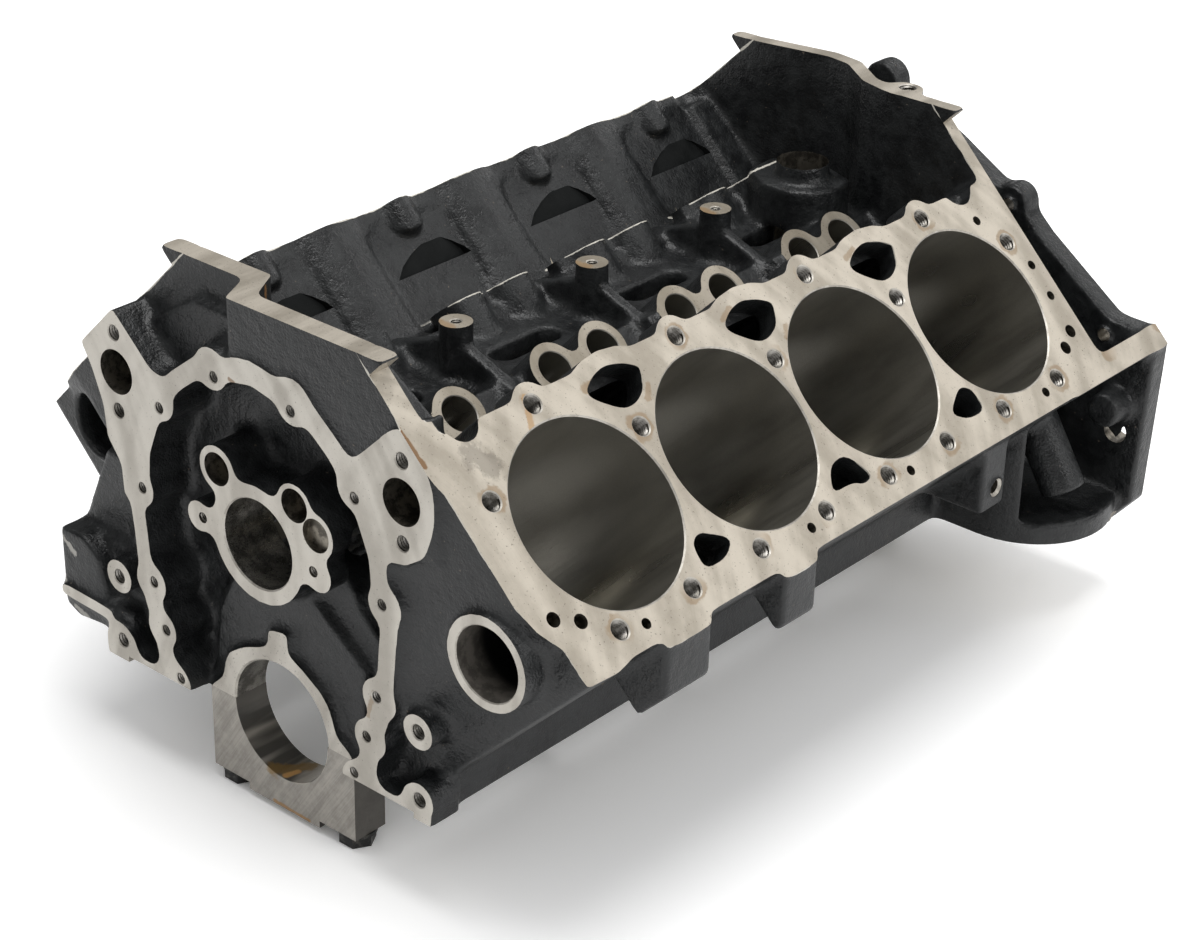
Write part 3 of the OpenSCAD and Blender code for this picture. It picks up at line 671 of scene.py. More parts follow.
def take_away(obj, cuts):
    """Makes cuts that share a finish."""
    take_away_solids(obj, [c.solid for c in cuts], cuts[0].finish)


def take_away_solids(obj, solids, finish):
    """Cuts solids that don't overlap each other from the object, and finishes the new faces."""
    cutter = object_from("cutter", joined(solids), [finish, "bright_edge"])
    cut = obj.modifiers.new("cut", "BOOLEAN")
    cut.operation = "DIFFERENCE"
    cut.solver = "MANIFOLD"
    cut.material_mode = "TRANSFER"
    cut.object = cutter
    settle(obj)
    bpy.data.objects.remove(cutter)


def shade(obj, angle=38):
    """Smooth faces with crisp edges at corners and where one finish meets another."""
    mesh = obj.data
    edges = bmesh.new()
    edges.from_mesh(mesh)
    limit = math.radians(angle)
    for edge in edges.edges:
        finishes = {face.material_index for face in edge.link_faces}
        if len(edge.link_faces) == 2:
            edge.smooth = len(finishes) == 1 and edge.calc_face_angle(0) < limit
    for face in edges.faces:
        face.smooth = True
    edges.to_mesh(mesh)
    edges.free()


def shade_casting(obj, form, field):
    """Cast skin is shaded as the level set curves and machined planes as flat, whatever their triangles."""
    shade(obj)
    mesh = obj.data
    points = rows_of(mesh.vertices, "co", 3) / MM
    corner = rows_of(mesh.loops, "vertex_index")
    normals = rows_of(mesh.corner_normals, "vector", 3)
    flat = rows_of(mesh.polygons, "normal", 3)
    finish = rows_of(mesh.polygons, "material_index")
    sides = rows_of(mesh.polygons, "loop_total")
    owner = np.repeat(np.arange(len(sides)), sides)
    names = [m.name for m in mesh.materials]

    is_plane = np.isin(finish, [names.index(n) for n in FLAT_FINISHES])[owner]
    normals[is_plane] = flat[owner][is_plane]

    off = np.abs(form.sampled(field, points)) > SKIN_TOLERANCE
    strays = np.bincount(owner, off[corner], len(sides))
    is_skin = ((finish == names.index("black_paint")) & (strays == 0))[owner]
    curve = form.slope(field, points)[corner]
    is_skin &= np.sum(curve * flat[owner], 1) > 0.2
    normals[is_skin] = curve[is_skin]
    mesh.normals_split_custom_set(normals)


def soften_edges(obj, width):
    bevel = obj.modifiers.new("soft_edges", "BEVEL")
    bevel.width = width
    bevel.segments = 2
    bevel.limit_method = "ANGLE"
    bevel.angle_limit = math.radians(35)
    bevel.harden_normals = True


# Nodes

class Wire:
    """A value in a node tree. Sums of wires and numbers become math nodes of that tree."""

    def __init__(self, tree, socket):
        self.tree = tree
        self.socket = socket

    def math(self, operation, *others, clamp=False):
        return math_node(self.tree, operation, self, *others, clamp=clamp)

    def __add__(self, other):
        return self.math("ADD", other)

    def __radd__(self, other):
        return self.math("ADD", other)

    def __sub__(self, other):
        return self.math("SUBTRACT", other)

    def __rsub__(self, other):
        return math_node(self.tree, "SUBTRACT", other, self)

    def __mul__(self, other):
        return self.math("MULTIPLY", other)

    def __truediv__(self, other):
        return self.math("DIVIDE", other)

    def __abs__(self):
        return self.math("ABSOLUTE")

    def larger(self, other):
        return self.math("MAXIMUM", other)

    def root(self):
        return self.math("SQRT")


def put(tree, kind, **settings):
    node = tree.nodes.new(kind)
    for key, value in settings.items():
        setattr(node, key, value)
    return node


def feed(socket, value):
    """Joins a socket to a wire, or sets it to a number, vector or colour."""
    if isinstance(value, Wire):
        value.tree.links.new(value.socket, socket)
    elif isinstance(value, tuple):
        socket.default_value = value + (1,) * (len(socket.default_value) - len(value))
    else:
        socket.default_value = value


def feed_all(node, **values):
    """Feeds the inputs of a node by their names, with _ for a space."""
    for key, value in values.items():
        feed(node.inputs[key.replace("_", " ")], value)


def math_node(tree, operation, *values, clamp=False):
    node = put(tree, "ShaderNodeMath", operation=operation, use_clamp=clamp)
    for socket, value in zip(node.inputs, values):
        feed(socket, value)
    return Wire(tree, node.outputs[0])


def vector_math(operation, a, b=None, scale=None):
    node = put(a.tree, "ShaderNodeVectorMath", operation=operation)
    feed(node.inputs[0], a)
    if b is not None:
        feed(node.inputs[1], b)
    if scale is not None:
        feed(node.inputs["Scale"], scale)
    return Wire(a.tree, node.outputs["Value" if operation in ("DOT_PRODUCT", "LENGTH") else "Vector"])


def vector(x, y, z=0.0):
    node = put(x.tree, "ShaderNodeCombineXYZ")
    feed_all(node, X=x, Y=y, Z=z)
    return Wire(x.tree, node.outputs[0])


def parts_of(place):
    """The x, y and z of a vector."""
    node = put(place.tree, "ShaderNodeSeparateXYZ")
    feed(node.inputs[0], place)
    return [Wire(place.tree, socket) for socket in node.outputs]


def noise(place, scale, detail=2.0, roughness=0.5):
    node = put(place.tree, "ShaderNodeTexNoise")
    feed_all(node, Vector=place, Scale=scale, Detail=detail, Roughness=roughness)
    return Wire(place.tree, node.outputs["Fac"])


def between(value, low, high, out_low=0.0, out_high=1.0):
    """Smooth step of a value from low to high."""
    node = put(value.tree, "ShaderNodeMapRange", interpolation_type="SMOOTHSTEP")
    feed_all(node, Value=value, From_Min=low, From_Max=high, To_Min=out_low, To_Max=out_high)
    return Wire(value.tree, node.outputs["Result"])


def mixed(share, a, b):
    """From colour a to colour b as the share rises."""
    node = put(share.tree, "ShaderNodeMix", data_type="RGBA")
    feed_all(node, Factor=share, A=a, B=b)
    return Wire(share.tree, node.outputs["Result"])


def texture_place(tree, kind="Object"):
    """Position in the block's own frame in metres, or another texture coordinate."""
    return Wire(tree, put(tree, "ShaderNodeTexCoord").outputs[kind])


def rise_to_deck(place):
    """Distance from the crank axis square to the decks, alike on both banks."""
    x, _, z = parts_of(place)
    return (abs(x) + z) * HALF


def reach_over_deck(place):
    """Distance across a deck towards the valley, alike on both banks."""
    x, _, z = parts_of(place)
    return (z - abs(x)) * HALF


def along_bank(place):
    """Place along y, counted from each bank's own start, and whether it is on the far bank."""
    x, y, _ = parts_of(place)
    far = x.math("LESS_THAN", 0.0)
    return y - far * (BANK_OFFSET * MM), far


# Effects that several finishes share, each a node group

def effect(name, outputs, **inputs):
    """Turns a function of wires into a node group. An input without a value is a vector."""
    def build(function):
        tree = bpy.data.node_groups.new(name, "ShaderNodeTree")
        for label, value in inputs.items():
            kind = "NodeSocketVector" if value is None else "NodeSocketFloat"
            socket = tree.interface.new_socket(name=label.replace("_", " "), in_out="INPUT", socket_type=kind)
            if value is not None:
                socket.default_value = value
        for label in outputs:
            tree.interface.new_socket(name=label, in_out="OUTPUT", socket_type="NodeSocketFloat")
        given = tree.nodes.new("NodeGroupInput").outputs
        results = function(*(Wire(tree, given[i]) for i in range(len(inputs))))
        for socket, result in zip(tree.nodes.new("NodeGroupOutput").inputs, results):
            feed(socket, result)
        return tree
    return build


def use(tree, group, **values):
    """Places an effect; returns its outputs by name."""
    node = put(tree, "ShaderNodeGroup", node_tree=group)
    feed_all(node, **values)
    return {socket.name: Wire(tree, socket) for socket in node.outputs}


@effect("sand_cast", ["Height", "Tone"], Place=None, Grains_per_metre=700.0, Lumps_per_metre=60.0)
def sand_cast(place, grains_per_metre, lumps_per_metre):
    """Fine pebbled skin of sand-cast iron, with slow lumps under it."""
    grains = noise(place, grains_per_metre, 2.5, 0.6)
    coarse = noise(place, grains_per_metre * 0.28)
    lumps = noise(place, lumps_per_metre, 3.0)
    height = grains * 0.5 + coarse * 0.75 + lumps * 0.45
    return height, between(lumps * 0.65 + coarse * 0.35, 0.36, 0.64)


@effect("mill_marks", ["Streaks", "Fans"], Along=0.0, Across=0.0, Cutter_radius=0.13, Centre_line=0.0)
def mill_marks(along, across, radius, centre_line):
    """Arcs that a large face mill leaves as it goes along a face."""
    off = across - centre_line
    bow = (radius * radius - off * off).larger(0.0).root()
    ahead = vector(along - bow, off * 0.05)
    behind = vector(along + bow, off * 0.07)
    streaks = noise(ahead, 900, 3.0, 0.7) * 0.7 + noise(behind, 700, 2.0, 0.6) * 0.3
    fans = noise(ahead, 55) * 0.55 + noise(behind, 38) * 0.45
    return streaks, between(fans, 0.38, 0.62)


@effect("iron_pores", ["Mask", "Mottle"], Place=None, Pores_per_metre=900.0, Amount=0.4)
def iron_pores(place, pores_per_metre, amount):
    """Small dark pores of open-grained iron, and its slow mottling."""
    start = 0.72 - amount * 0.2
    mask = between(noise(place, pores_per_metre, 1.5), start, start + 0.06)
    return mask, between(noise(place, 130, 4.0, 0.65), 0.32, 0.68)


@effect("smudge", ["Mask"], Place=None, From=None, To=None, Reach=0.006, Ragged=0.7)
def smudge(place, start, end, reach, ragged):
    """A ragged stain along a line between two points of the block."""
    span = vector_math("SUBTRACT", end, start)
    away = vector_math("SUBTRACT", place, start)
    length = vector_math("DOT_PRODUCT", span, span).larger(1e-9)
    share = vector_math("DOT_PRODUCT", away, span).math("DIVIDE", length, clamp=True)
    foot = vector_math("SCALE", span, scale=share)
    distance = vector_math("LENGTH", vector_math("SUBTRACT", away, foot))
    uneven = (noise(place, 190, 4.0, 0.65) - 0.5) * (ragged * 3.0) + 1.0
    return [between(distance / (reach * uneven.larger(0.02)), 0.45, 1.0, 1.0, 0.0)]


# Rows of head bolts, as the first one's y, its reach across the deck and their spacing
BOLT_ROWS = [
    (FIRST_BORE_Y, 63.2, PITCH),
    (THROW_Y - 11.2 + PITCH / 2, 28.6, PITCH),
    (FIRST_BORE_Y + PITCH / 4, -56.2, PITCH / 2),
]


@effect("bolt_rings", ["Mask"], Place=None, Along=0.0, Across=0.0)
def bolt_rings(place, along, across):
    """Uneven rings round the head bolt holes of a deck."""
    nearest = 1.0
    for first, side, pitch in BOLT_ROWS:
        beside = (along - first * MM).math("WRAP", pitch / 2 * MM, -pitch / 2 * MM)
        off = across - side * MM
        nearest = (beside * beside + off * off).root().math("MINIMUM", nearest)
    wide = noise(place, 95, 3.0, 0.6) * 0.011 + 0.0024
    ring = between(nearest - wide, -0.0006, 0.0012, 1.0, 0.0)
    patches = between(noise(place, 24, 1.0), 0.44, 0.6)
    return [ring * patches]


# Stains are (colour, share, from, to, reach, raggedness), in millimetres

RUST = (0.20, 0.095, 0.028)
OCHRE = (0.42, 0.22, 0.055)
BROWN = (0.26, 0.16, 0.07)
SOOT = (0.07, 0.06, 0.05)
BARE_IRON = (0.40, 0.385, 0.35)
WET_OIL = (0.28, 0.17, 0.05)
AMBER_OIL = (0.66, 0.37, 0.13)


def on_deck(y, across):
    """A point on the near deck."""
    return (HALF * (DECK_H - across), y, HALF * (DECK_H + across))


PAINT_STAINS = [
    (BARE_IRON, 0.9, (-168, 4, 55), (-158, 3, 48), 2.6, 1.1),
    (BARE_IRON, 0.9, (-168, 3, 30), (-165, 3, 20), 2.2, 1.1),
    (BARE_IRON, 0.8, (-160, 3, 12), (-150, 3, 8), 2.4, 1.1),
    (OCHRE, 0.9, (30, 489, 244), (33, 490, 238), 2.6, 1.0),
    (RUST, 0.8, (-17, 27, 247), (-17, 27, 240), 2.0, 1.0),
]
DECK_STAINS = [
    (RUST, 0.85, on_deck(0, 80), on_deck(1.5, 58), 1.7, 0.8),
    (OCHRE, 0.6, on_deck(80, 68), on_deck(73, 52), 2.6, 0.8),
    (SOOT, 0.4, on_deck(31, 54), on_deck(38, 44), 9.0, 0.9),
    (BROWN, 0.6, (121, 118, 203), (120, 128, 204), 3.2, 1.0),
    (BROWN, 0.5, on_deck(158, 46), on_deck(152, 40), 2.6, 1.0),
    (BROWN, 0.5, on_deck(230, 60), on_deck(240, 64), 2.4, 1.0),
    (BROWN, 0.5, on_deck(270, 42), on_deck(266, 36), 2.4, 1.0),
    (BROWN, 0.5, on_deck(342, 61), on_deck(352, 65), 2.4, 1.0),
]
FACE_STAINS = [
    (BROWN, 0.75, (139, 0, 87), (152, 0, 78), 1.8, 0.9),
    (RUST, 0.7, (-10, 0, 203), (-16, 0, 205), 1.6, 0.9),
    (BROWN, 0.5, (84, 0, 60), (80, 0, 45), 2.2, 1.0),
]
TOP_STAINS = [(OCHRE, 0.45, (-6, y - 8, STANDPIPE_Z), (2, y - 9, STANDPIPE_Z), 6.0, 0.6) for y in WEB_Y]
CAP_STAINS = [
    (WET_OIL, 0.75, (-9, 13, -35), (4, 30, -36), 5.5, 0.7),
    (AMBER_OIL, 0.95, (-0.4, 14.5, -36), (1.4, 21, -36), 2.9, 0.2),
    (OCHRE, 0.7, (-8, 11.7, -54.5), (20, 11.7, -55), 1.4, 1.0),
]


def stained(colour, place, stains):
    """Lays a list of smudges over a colour."""
    for tint, share, start, end, reach, ragged in stains:
        ends = {"From": tuple(v * MM for v in start), "To": tuple(v * MM for v in end)}
        mask = use(place.tree, smudge, Place=place, Reach=reach * MM, Ragged=ragged, **ends)["Mask"]
        colour = mixed(mask * share, colour, tint)
    return colour


# Finishes, each a material

def new_finish(name, metallic, specular=0.5):
    """A material, its shader node and the place in the block."""
    material = bpy.data.materials.new(name)
    material.use_nodes = True
    shader = material.node_tree.nodes["Principled BSDF"]
    feed_all(shader, Metallic=metallic, Specular_IOR_Level=specular)
    return material, shader, texture_place(material.node_tree)


def finished(shader, colour, roughness, height, depth):
    """Joins a finish's colour, roughness and bumps to its shader, with the depth of the bumps in metres."""
    bump = put(colour.tree, "ShaderNodeBump")
    feed_all(bump, Strength=1.0, Distance=depth, Height=height)
    feed_all(shader, Base_Color=colour, Roughness=roughness, Normal=Wire(colour.tree, bump.outputs["Normal"]))


def bare_edges(place):
    """Where the boss cutter has bared the rims of the far lifter bosses: a band just under their tops."""
    x, _, z = parts_of(place)
    out = abs(x) * math.sin(LIFTER_TILT)
    up = (z - CAM_H * MM) * math.cos(LIFTER_TILT)
    under = LIFTER_REACH * MM - (out + up)
    band = between(noise(place, 300, 3.0, 0.6) * 0.0016 - abs(under), 0.0, 0.0003)
    # Not on the bank walls beyond the bosses, nor between their pairs
    inside = between(abs(x), 0.062, 0.064, 1.0, 0.0)
    along, far = along_bank(place)
    boss = 0.0
    for start, end in BOSS_SPANS:
        half = (end - start) / 2
        from_middle = abs(along - (start + end) / 2 * MM)
        boss = between(from_middle, half * MM, (half + 1) * MM, 1.0, 0.0).larger(boss)
    return band * inside * far * boss


def deck_line(place):
    """The thin line of bare iron where the deck cutter trimmed the painted sides."""
    width = between(noise(place, 60, 3.0, 0.6), 0.35, 0.7) * 0.0011
    return between(width - abs(DECK_H * MM - rise_to_deck(place)), 0.0, 0.0003)


def black_paint():
    """Satin black over sand-cast iron."""
    material, shader, place = new_finish("black_paint", 0.0)
    skin = use(place.tree, sand_cast, Place=place)
    colour = mixed(skin["Tone"], (0.008, 0.0085, 0.009), (0.019, 0.0205, 0.021))
    specks = between(noise(place, 420), 0.735, 0.76)
    colour = mixed(specks * 0.6, colour, (0.16, 0.13, 0.10))
    colour = mixed(bare_edges(place).larger(deck_line(place)), colour, (0.62, 0.59, 0.52))
    colour = stained(colour, place, PAINT_STAINS)
    finished(shader, colour, between(skin["Tone"], 0.0, 1.0, 0.28, 0.42), skin["Height"], 0.0009)
    return material


def painted_shade_black():
    """The unpebbled scoops in the valley walls, in a darker matt black that paints in the shade they hold."""
    material, shader, place = new_finish("painted_shade_black", 0.0, 0.15)
    skin = use(place.tree, sand_cast, Place=place)
    # Painted shade: this black is darker than the paint round the scoops
    colour = mixed(skin["Tone"], (0.006, 0.007, 0.007), (0.011, 0.012, 0.012))
    finished(shader, colour, between(skin["Tone"], 0.0, 1.0, 0.62, 0.78), skin["Height"], 0.0003)
    return material


def milled_iron(name, light, dark, metallic, along, across, pores=0.35, stains=(), **cutter):
    """Bare iron with face mill marks along one axis. Across may be the reach across a deck."""
    material, shader, place = new_finish(name, metallic)
    axes = dict(zip("xyz", parts_of(place)))
    if across == "deck":
        axes["deck"] = reach_over_deck(place)
    marks = use(place.tree, mill_marks, Along=axes[along], Across=axes[across], **cutter)
    iron = use(place.tree, iron_pores, Place=place, Amount=pores)
    tone = marks["Fans"] * 0.6 + iron["Mottle"] * 0.12 + marks["Streaks"] * 0.4
    colour = mixed(between(tone, 0.1, 0.95), dark, light)
    colour = mixed(iron["Mask"] * 0.6, colour, tuple(c * 0.3 for c in dark))
    if across == "deck":
        rings = use(place.tree, bolt_rings, Place=place, Along=along_bank(place)[0], Across=axes["deck"])
        colour = mixed(rings["Mask"] * 0.55, colour, BROWN)
    colour = stained(colour, place, stains)
    roughness = between(marks["Streaks"], 0.3, 0.7, 0.34, 0.5)
    finished(shader, colour, roughness, marks["Streaks"] - iron["Mask"] * 1.2, 0.00008)
    return material


def honed_bore():
    """Cylinder wall with slanting bands and a fine hatch."""
    material, shader, place = new_finish("honed_bore", 0.85)
    # Depth from the deck and turn round the bore both slide, which slants the bands
    turned = parts_of(place)[1] + reach_over_deck(place) * 0.6
    bands = noise(vector(turned, rise_to_deck(place) * 0.12), 70, 3.0, 0.55)
    hatch = noise(place, 1500, 2.0, 0.6)
    colour = mixed(between(bands * 0.8 + hatch * 0.2, 0.3, 0.7), (0.27, 0.255, 0.22), (0.46, 0.44, 0.385))
    finished(shader, colour, between(bands, 0.3, 0.7, 0.26, 0.40), hatch, 0.00003)
    return material


def turned_steel(name, light, dark, rough=0.34, metallic=0.9, painted_shade_from=None):
    """Drilled, reamed or threaded metal with fine grain, turned black past a given number of metres from the
    front as painted shade for the dark deep inside a hole.
    """
    material, shader, place = new_finish(name, metallic)
    iron = use(place.tree, iron_pores, Place=place, Amount=0.3)
    fine = noise(place, 1400, 2.0, 0.6)
    colour = mixed(between(iron["Mottle"] * 0.6 + fine * 0.4, 0.25, 0.75), dark, light)
    if painted_shade_from is not None:
        # Painted shade: deeper in, the colour goes black
        deep = between(parts_of(place)[1], painted_shade_from, painted_shade_from + 0.012)
        colour = mixed(deep, colour, (0.004, 0.004, 0.004))
    finished(shader, colour, between(fine, 0.3, 0.7, rough - 0.06, rough + 0.1), fine, 0.00004)
    return material


def cap_iron():
    """Raw brushed cap, with slanting scratches and an oil stain low in the first bore."""
    material, shader, place = new_finish("cap_iron", 0.6)
    x, y, z = parts_of(place)
    scratches = vector((x * 0.56 + z * 0.83) * 0.04, x * 0.83 + z * -0.56, y * 0.6)
    brushed = noise(scratches, 1100, 3.0, 0.65)
    iron = use(place.tree, iron_pores, Place=place, Amount=0.3)
    tone = brushed * 0.5 + iron["Mottle"] * 0.12 + noise(scratches, 160) * 0.4
    colour = mixed(between(tone, 0.3, 0.75), (0.28, 0.262, 0.235), (0.49, 0.46, 0.415))
    # Light and dark bands run along the bore
    reach = (x * x + z * z).root()
    in_bore = between(reach, (MAIN_R + 0.1) * MM, (MAIN_R + 0.4) * MM, 1.0, 0.0)
    bands = between(noise(vector(x, z, y * 0.12), 75), 0.4, 0.6)
    colour = mixed(in_bore, colour, mixed(bands, (0.10, 0.095, 0.085), (0.55, 0.51, 0.45)))
    # Faces turned along x are darker
    facing = parts_of(texture_place(place.tree, "Normal"))[0]
    x_facing_share = between(abs(facing), 0.9, 0.97)
    colour = mixed(x_facing_share * 0.8, colour, (0.07, 0.066, 0.06))
    colour = stained(colour, place, CAP_STAINS)
    finished(shader, colour, between(brushed, 0.3, 0.7, 0.32, 0.48), brushed, 0.00006)
    return material


def black_bolt():
    """Phosphated bolt steel, slightly rubbed."""
    material, shader, place = new_finish("black_bolt", 0.3)
    rubbed = noise(place, 260, 3.0, 0.6)
    colour = mixed(between(rubbed, 0.5, 0.75), (0.018, 0.018, 0.018), (0.10, 0.095, 0.085))
    finished(shader, colour, between(rubbed, 0.3, 0.7, 0.5, 0.34), noise(place, 900), 0.00005)
    return material


# Brighter than white to the camera, so that the open floor burns out round the shadow
FLOOR_WHITE = 1.2
FLOOR_GREY = 0.82


def white_floor():
    """White sweep that keeps the block's shadow."""
    material = bpy.data.materials.new("white_floor")
    material.use_nodes = True
    tree = material.node_tree
    tree.nodes.clear()
    diffuse = put(tree, "ShaderNodeBsdfDiffuse")
    seen = Wire(tree, put(tree, "ShaderNodeLightPath").outputs["Is Camera Ray"])
    feed(diffuse.inputs["Color"], mixed(seen, (FLOOR_GREY,) * 3, (FLOOR_WHITE,) * 3))
    tree.links.new(diffuse.outputs[0], put(tree, "ShaderNodeOutputMaterial").inputs["Surface"])
    return material


# Light and dark of milled iron
WARM = ((0.60, 0.545, 0.46), (0.37, 0.33, 0.27))
PALE = ((0.66, 0.625, 0.56), (0.43, 0.40, 0.35))
BROWNED = ((0.48, 0.43, 0.35), (0.30, 0.26, 0.20))

MATERIALS = {
    "cast": black_paint(),
    # Darker matt black for the scoops, painted shade
    "painted_shade": painted_shade_black(),
    "machined": milled_iron(
        "front_face", *PALE, 0.45, "x", "z", 0.25, stains=FACE_STAINS, Cutter_radius=0.19, Centre_line=0.09
    ),
    "deck": milled_iron(
        "deck_face", *WARM, 0.6, "y", "deck", 0.22, stains=DECK_STAINS, Cutter_radius=0.13, Centre_line=-0.005
    ),
    "bore": honed_bore(),
    "bearing": turned_steel("bearing_bore", (0.42, 0.40, 0.36), (0.2, 0.19, 0.17), 0.3),
    "drilled": turned_steel("drilled_hole", (0.33, 0.30, 0.25), (0.10, 0.09, 0.075), 0.36),
    # The core hole is painted black from 10 mm in, painted shade for its dark depth
    "core": turned_steel("core_hole", (0.22, 0.20, 0.175), (0.12, 0.11, 0.095), 0.5, 0.4, 0.010),
    "thread": turned_steel("thread_hole", (0.22, 0.20, 0.17), (0.07, 0.065, 0.055)),
    "screw_thread": turned_steel("screw_thread", (0.42, 0.40, 0.37), (0.16, 0.15, 0.13)),
    "bright_edge": turned_steel("bright_edge", (0.62, 0.59, 0.53), (0.44, 0.41, 0.36), 0.42, 0.6),
    "ring": milled_iron("boss_top", *BROWNED, 0.5, "y", "z", stains=TOP_STAINS, Cutter_radius=0.05),
    "wall_top": milled_iron("wall_top", *WARM, 0.5, "x", "y", Cutter_radius=0.3),
    "cap": cap_iron(),
    "bolt": black_bolt(),
    "floor": white_floor(),
}


def build_casting():
    """The CAD casting with rounded skin, machined again at each face and hole."""
    cad = cad_solid("engine_block")
    places = [FRONT, REAR, level(RAIL_Z, True), level(WALL_TOP_Z), *DECKS, CRANK_FACE, level(STANDPIPE_Z)]
    raised = [raised_face(cad, place) for place in places]
    raised.append(raised_face(cad, level(0, True), wanted=lambda at: np.abs(at[:, 0]) < INNER_HALF_W))
    bars = lifter_bars(False) + lifter_bars(True)
    bosses = [prism(place, outline, -8, OVERRUN) for place, outline in bars]
    boss = circle(LIFTER_BOSS_R, steps=48)
    bosses += [prism(lifter_place(y, far), boss, -8, OVERRUN) for far in (False, True) for y in LIFTER_Y]

    decks = [deck_cuts(place) for place in DECKS]
    lifters = [lifter_cuts(far) for far in (False, True)]
    valley_tops, valley_holes = valley_cuts()
    crank, cam, main_bolts = axis_cuts()
    later = [front_cuts(), rear_cuts(), valley_holes, main_bolts]
    holes = sum(decks + [holes for _, holes in lifters] + later, [])
    fillers = [cut.filler for cut in holes if cut.filler] + bore_fillers()

    margin = OVERRUN + 6
    form = Form((-222, -margin, -40), (222, BLOCK_LEN + margin, WALL_TOP_Z + margin), VOXEL, LEVEL_REACH)
    field = form.distances(cad)
    wall_fills, wall_cuts, scoops = wall_pockets()
    for group in [[s] for s in raised if s] + apart(bosses) + apart(fillers) + apart(wall_fills):
        np.minimum(field, form.distances(joined(group)), out=field)
    for group in apart(wall_cuts):
        np.maximum(field, -form.distances(joined(group)), out=field)
    field = np.minimum(field, blurred(field, HOLLOW_ROUND / VOXEL))
    field = blurred(field, EDGE_ROUND / VOXEL)
    surface = form.surface(field)
    casting = object_from("casting", surface)
    share = TRIANGLE_BUDGET / len(surface.triangles)
    if share < 1:
        thin = casting.modifiers.new("thin", "DECIMATE")
        thin.ratio = share
        settle(casting)
    print("casting:", len(surface.triangles), "triangles, thinned to", len(casting.data.polygons))

    for finish, solid in plane_cuts():
        take_away_solids(casting, [solid], finish)
    # The scoops take the darker matt black, painted shade for the dark in them
    take_away_solids(casting, scoops, "painted_shade")
    take_away(casting, valley_tops)
    for tops, _ in lifters:
        take_away(casting, tops)
    for place, outline in bars:
        take_away_solids(casting, [prism(place, grown(outline, 1.5), 0, OVERRUN + 4)], "ring")
    for cuts in [crank, cam] + [holes for _, holes in lifters] + decks + later:
        for finish in ("bearing", "bore", "machined", "thread", "drilled", "core", "cast"):
            chosen = [cut for cut in cuts if cut.finish == finish]
            if chosen:
                take_away(casting, chosen)
    shade_casting(casting, form, field)
    return casting


def apart(solids):
    """Groups of solids whose boxes don't meet, so that each group is one clean mesh."""
    groups = []
    for solid in solids:
        low, high = solid.points.min(0) - 1, solid.points.max(0) + 1
        for group in groups:
            if all((low > h).any() or (high < l).any() for l, h, _ in group):
                group.append((low, high, solid))
                break
        else:
            groups.append([(low, high, solid)])
    return [[s for _, _, s in group] for group in groups]


def screw_thread(place, at, r, pitch, turns, steps=13):
    """A helical ridge of three edges that stands in from the wall of a hole."""
    count = int(turns * steps) + 1
    turn = np.arange(count) * 2 * math.pi / steps
    depth = -1.2 - np.arange(count) * pitch / steps
    edges = []
    for radius, rise in ((r + 0.12, 0.46), (r - 0.42 * pitch, 0.0), (r + 0.12, -0.46)):
        x, y = at[0] + radius * np.cos(turn), at[1] + radius * np.sin(turn)
        edges.append(np.stack([x, y, depth + rise * pitch], 1))
    points = np.concatenate(edges)
    i = np.arange(count - 1)
    triangles = []
    for k in range(3):
        a, b = i + k * count, i + (k + 1) % 3 * count
        triangles += [np.stack([a, a + 1, b + 1], 1), np.stack([a, b + 1, b], 1)]
    last = count - 1
    triangles.append(np.array([[0, count, 2 * count], [last, last + 2 * count, last + count]]))
    return place.solid(points, np.concatenate(triangles))


def build_threads():
    """The threads of the tapped holes in the decks, the front, the standpipes and the rear wall."""
    solids = []
    for place in DECKS:
        for y, v, deep in HEAD_BOLTS:
            solids.append(screw_thread(place, (y, v), *HEAD_SCREW, min(deep / HEAD_SCREW[1] - 2, 10)))
    for s in (-1, 1):
        covers = TIMING_BOLTS + [THRUST_BOLT]
        solids += [screw_thread(FRONT, (s * x, z), *COVER_SCREW, 9, 11) for x, z in covers]
        solids += [screw_thread(FRONT, (s * x, z), *PUMP_SCREW, 9, 12) for x, z in PUMP_BOLTS + SIDE_BOLTS]
    solids += [screw_thread(level(STANDPIPE_Z), (0, y), *PIPE_SCREW, 9, 11) for y in WEB_Y]
    solids.append(screw_thread(level(WALL_TOP_Z), WALL_HOLE_AT, *HEAD_SCREW, 9))
    return object_from("bolt_hole_threads", joined(solids), ["screw_thread"])


casting = build_casting()
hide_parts("engine_block")
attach(casting, "root")

threads = build_threads()
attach(threads, "root")
shade(threads, 50)

for name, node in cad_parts.items():
    for start, finish, edge in (("main_cap", "cap", 0.9), ("main_bolt", "bolt", 0.6)):
        if name.startswith(start):
            node.data.materials.clear()
            node.data.materials.append(MATERIALS[finish])
            soften_edges(node, edge * MM)

# Floor, lamps and camera

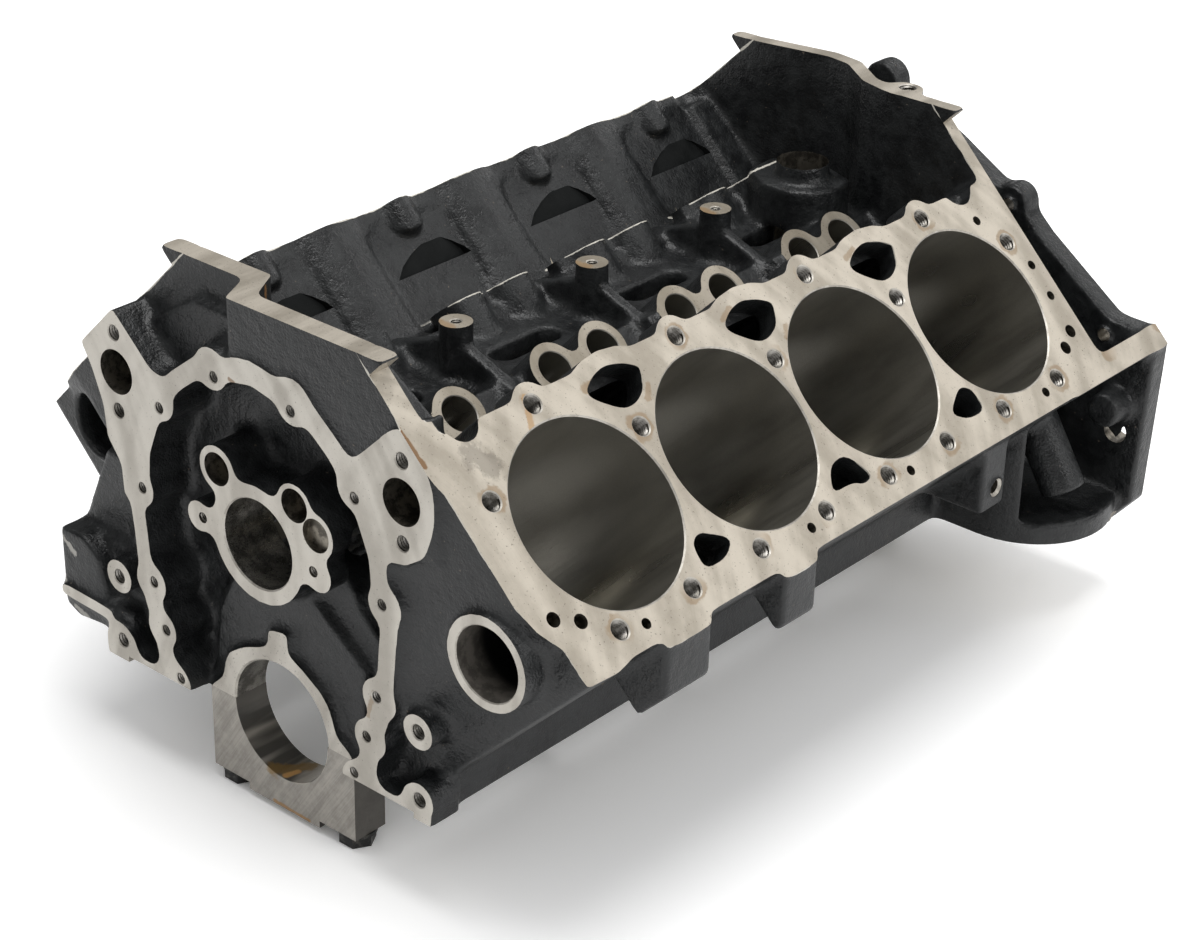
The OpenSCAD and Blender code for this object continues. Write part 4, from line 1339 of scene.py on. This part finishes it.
bpy.ops.mesh.primitive_plane_add(size=14, location=(0, 0, cad_low.z - 0.0002))
floor = bpy.context.active_object
floor.name = "floor"
floor.data.materials.append(MATERIALS["floor"])

world = bpy.data.worlds.new("studio")
bpy.context.scene.world = world
world.use_nodes = True
tree = world.node_tree
seen = put(tree, "ShaderNodeLightPath").outputs
RAYS = ("Camera", "Transmission", "Glossy")
to_camera, through, glossy = (Wire(tree, seen[f"Is {ray} Ray"]) for ray in RAYS)
# The sky fills the shadows, shines less in the paint and is white behind the block
FILL = 0.62
GLOSS_FILL = 0.14
strength = (glossy * (GLOSS_FILL - FILL) + FILL).larger(to_camera.larger(through))
feed_all(tree.nodes["Background"], Color=(1, 1, 1), Strength=strength)


def softbox(name, at, aim, width, depth, power):
    lamp = bpy.data.lights.new(name, "AREA")
    lamp.shape = "RECTANGLE"
    lamp.size, lamp.size_y = width, depth
    lamp.energy = power
    obj = bpy.data.objects.new(name, lamp)
    bpy.context.scene.collection.objects.link(obj)
    obj.location = at
    obj.rotation_euler = (Vector(aim) - Vector(at)).to_track_quat("-Z", "Y").to_euler()


MIDDLE = (0, 0.28, 0.12)
softbox("top", (0, 0.28, 2.6), MIDDLE, 1.8, 1.8, 42)
softbox("right", (2.3, 0.5, 1.2), MIDDLE, 1.4, 1.0, 13)
softbox("right_back", (1.55, 2.25, 1.75), MIDDLE, 1.8, 1.4, 10.5)
softbox("back", (-0.3, 2.8, 1.2), MIDDLE, 1.8, 1.0, 9)
softbox("front_right", (1.6, -1.7, 1.0), MIDDLE, 1.4, 1.0, 2)

camera_data = bpy.data.cameras.new("camera")
camera = bpy.data.objects.new("camera", camera_data)
bpy.context.scene.collection.objects.link(camera)
camera_data.sensor_width = 36
camera_data.lens = 82.864
camera_data.clip_end = 30
camera.location = (0.94702, -0.83548, 0.81740)
camera.rotation_euler = [math.radians(a) for a in (62.3754, -1.1794, 41.1422)]
bpy.context.scene.camera = camera

scene = bpy.context.scene
scene.view_settings.view_transform = "Standard"
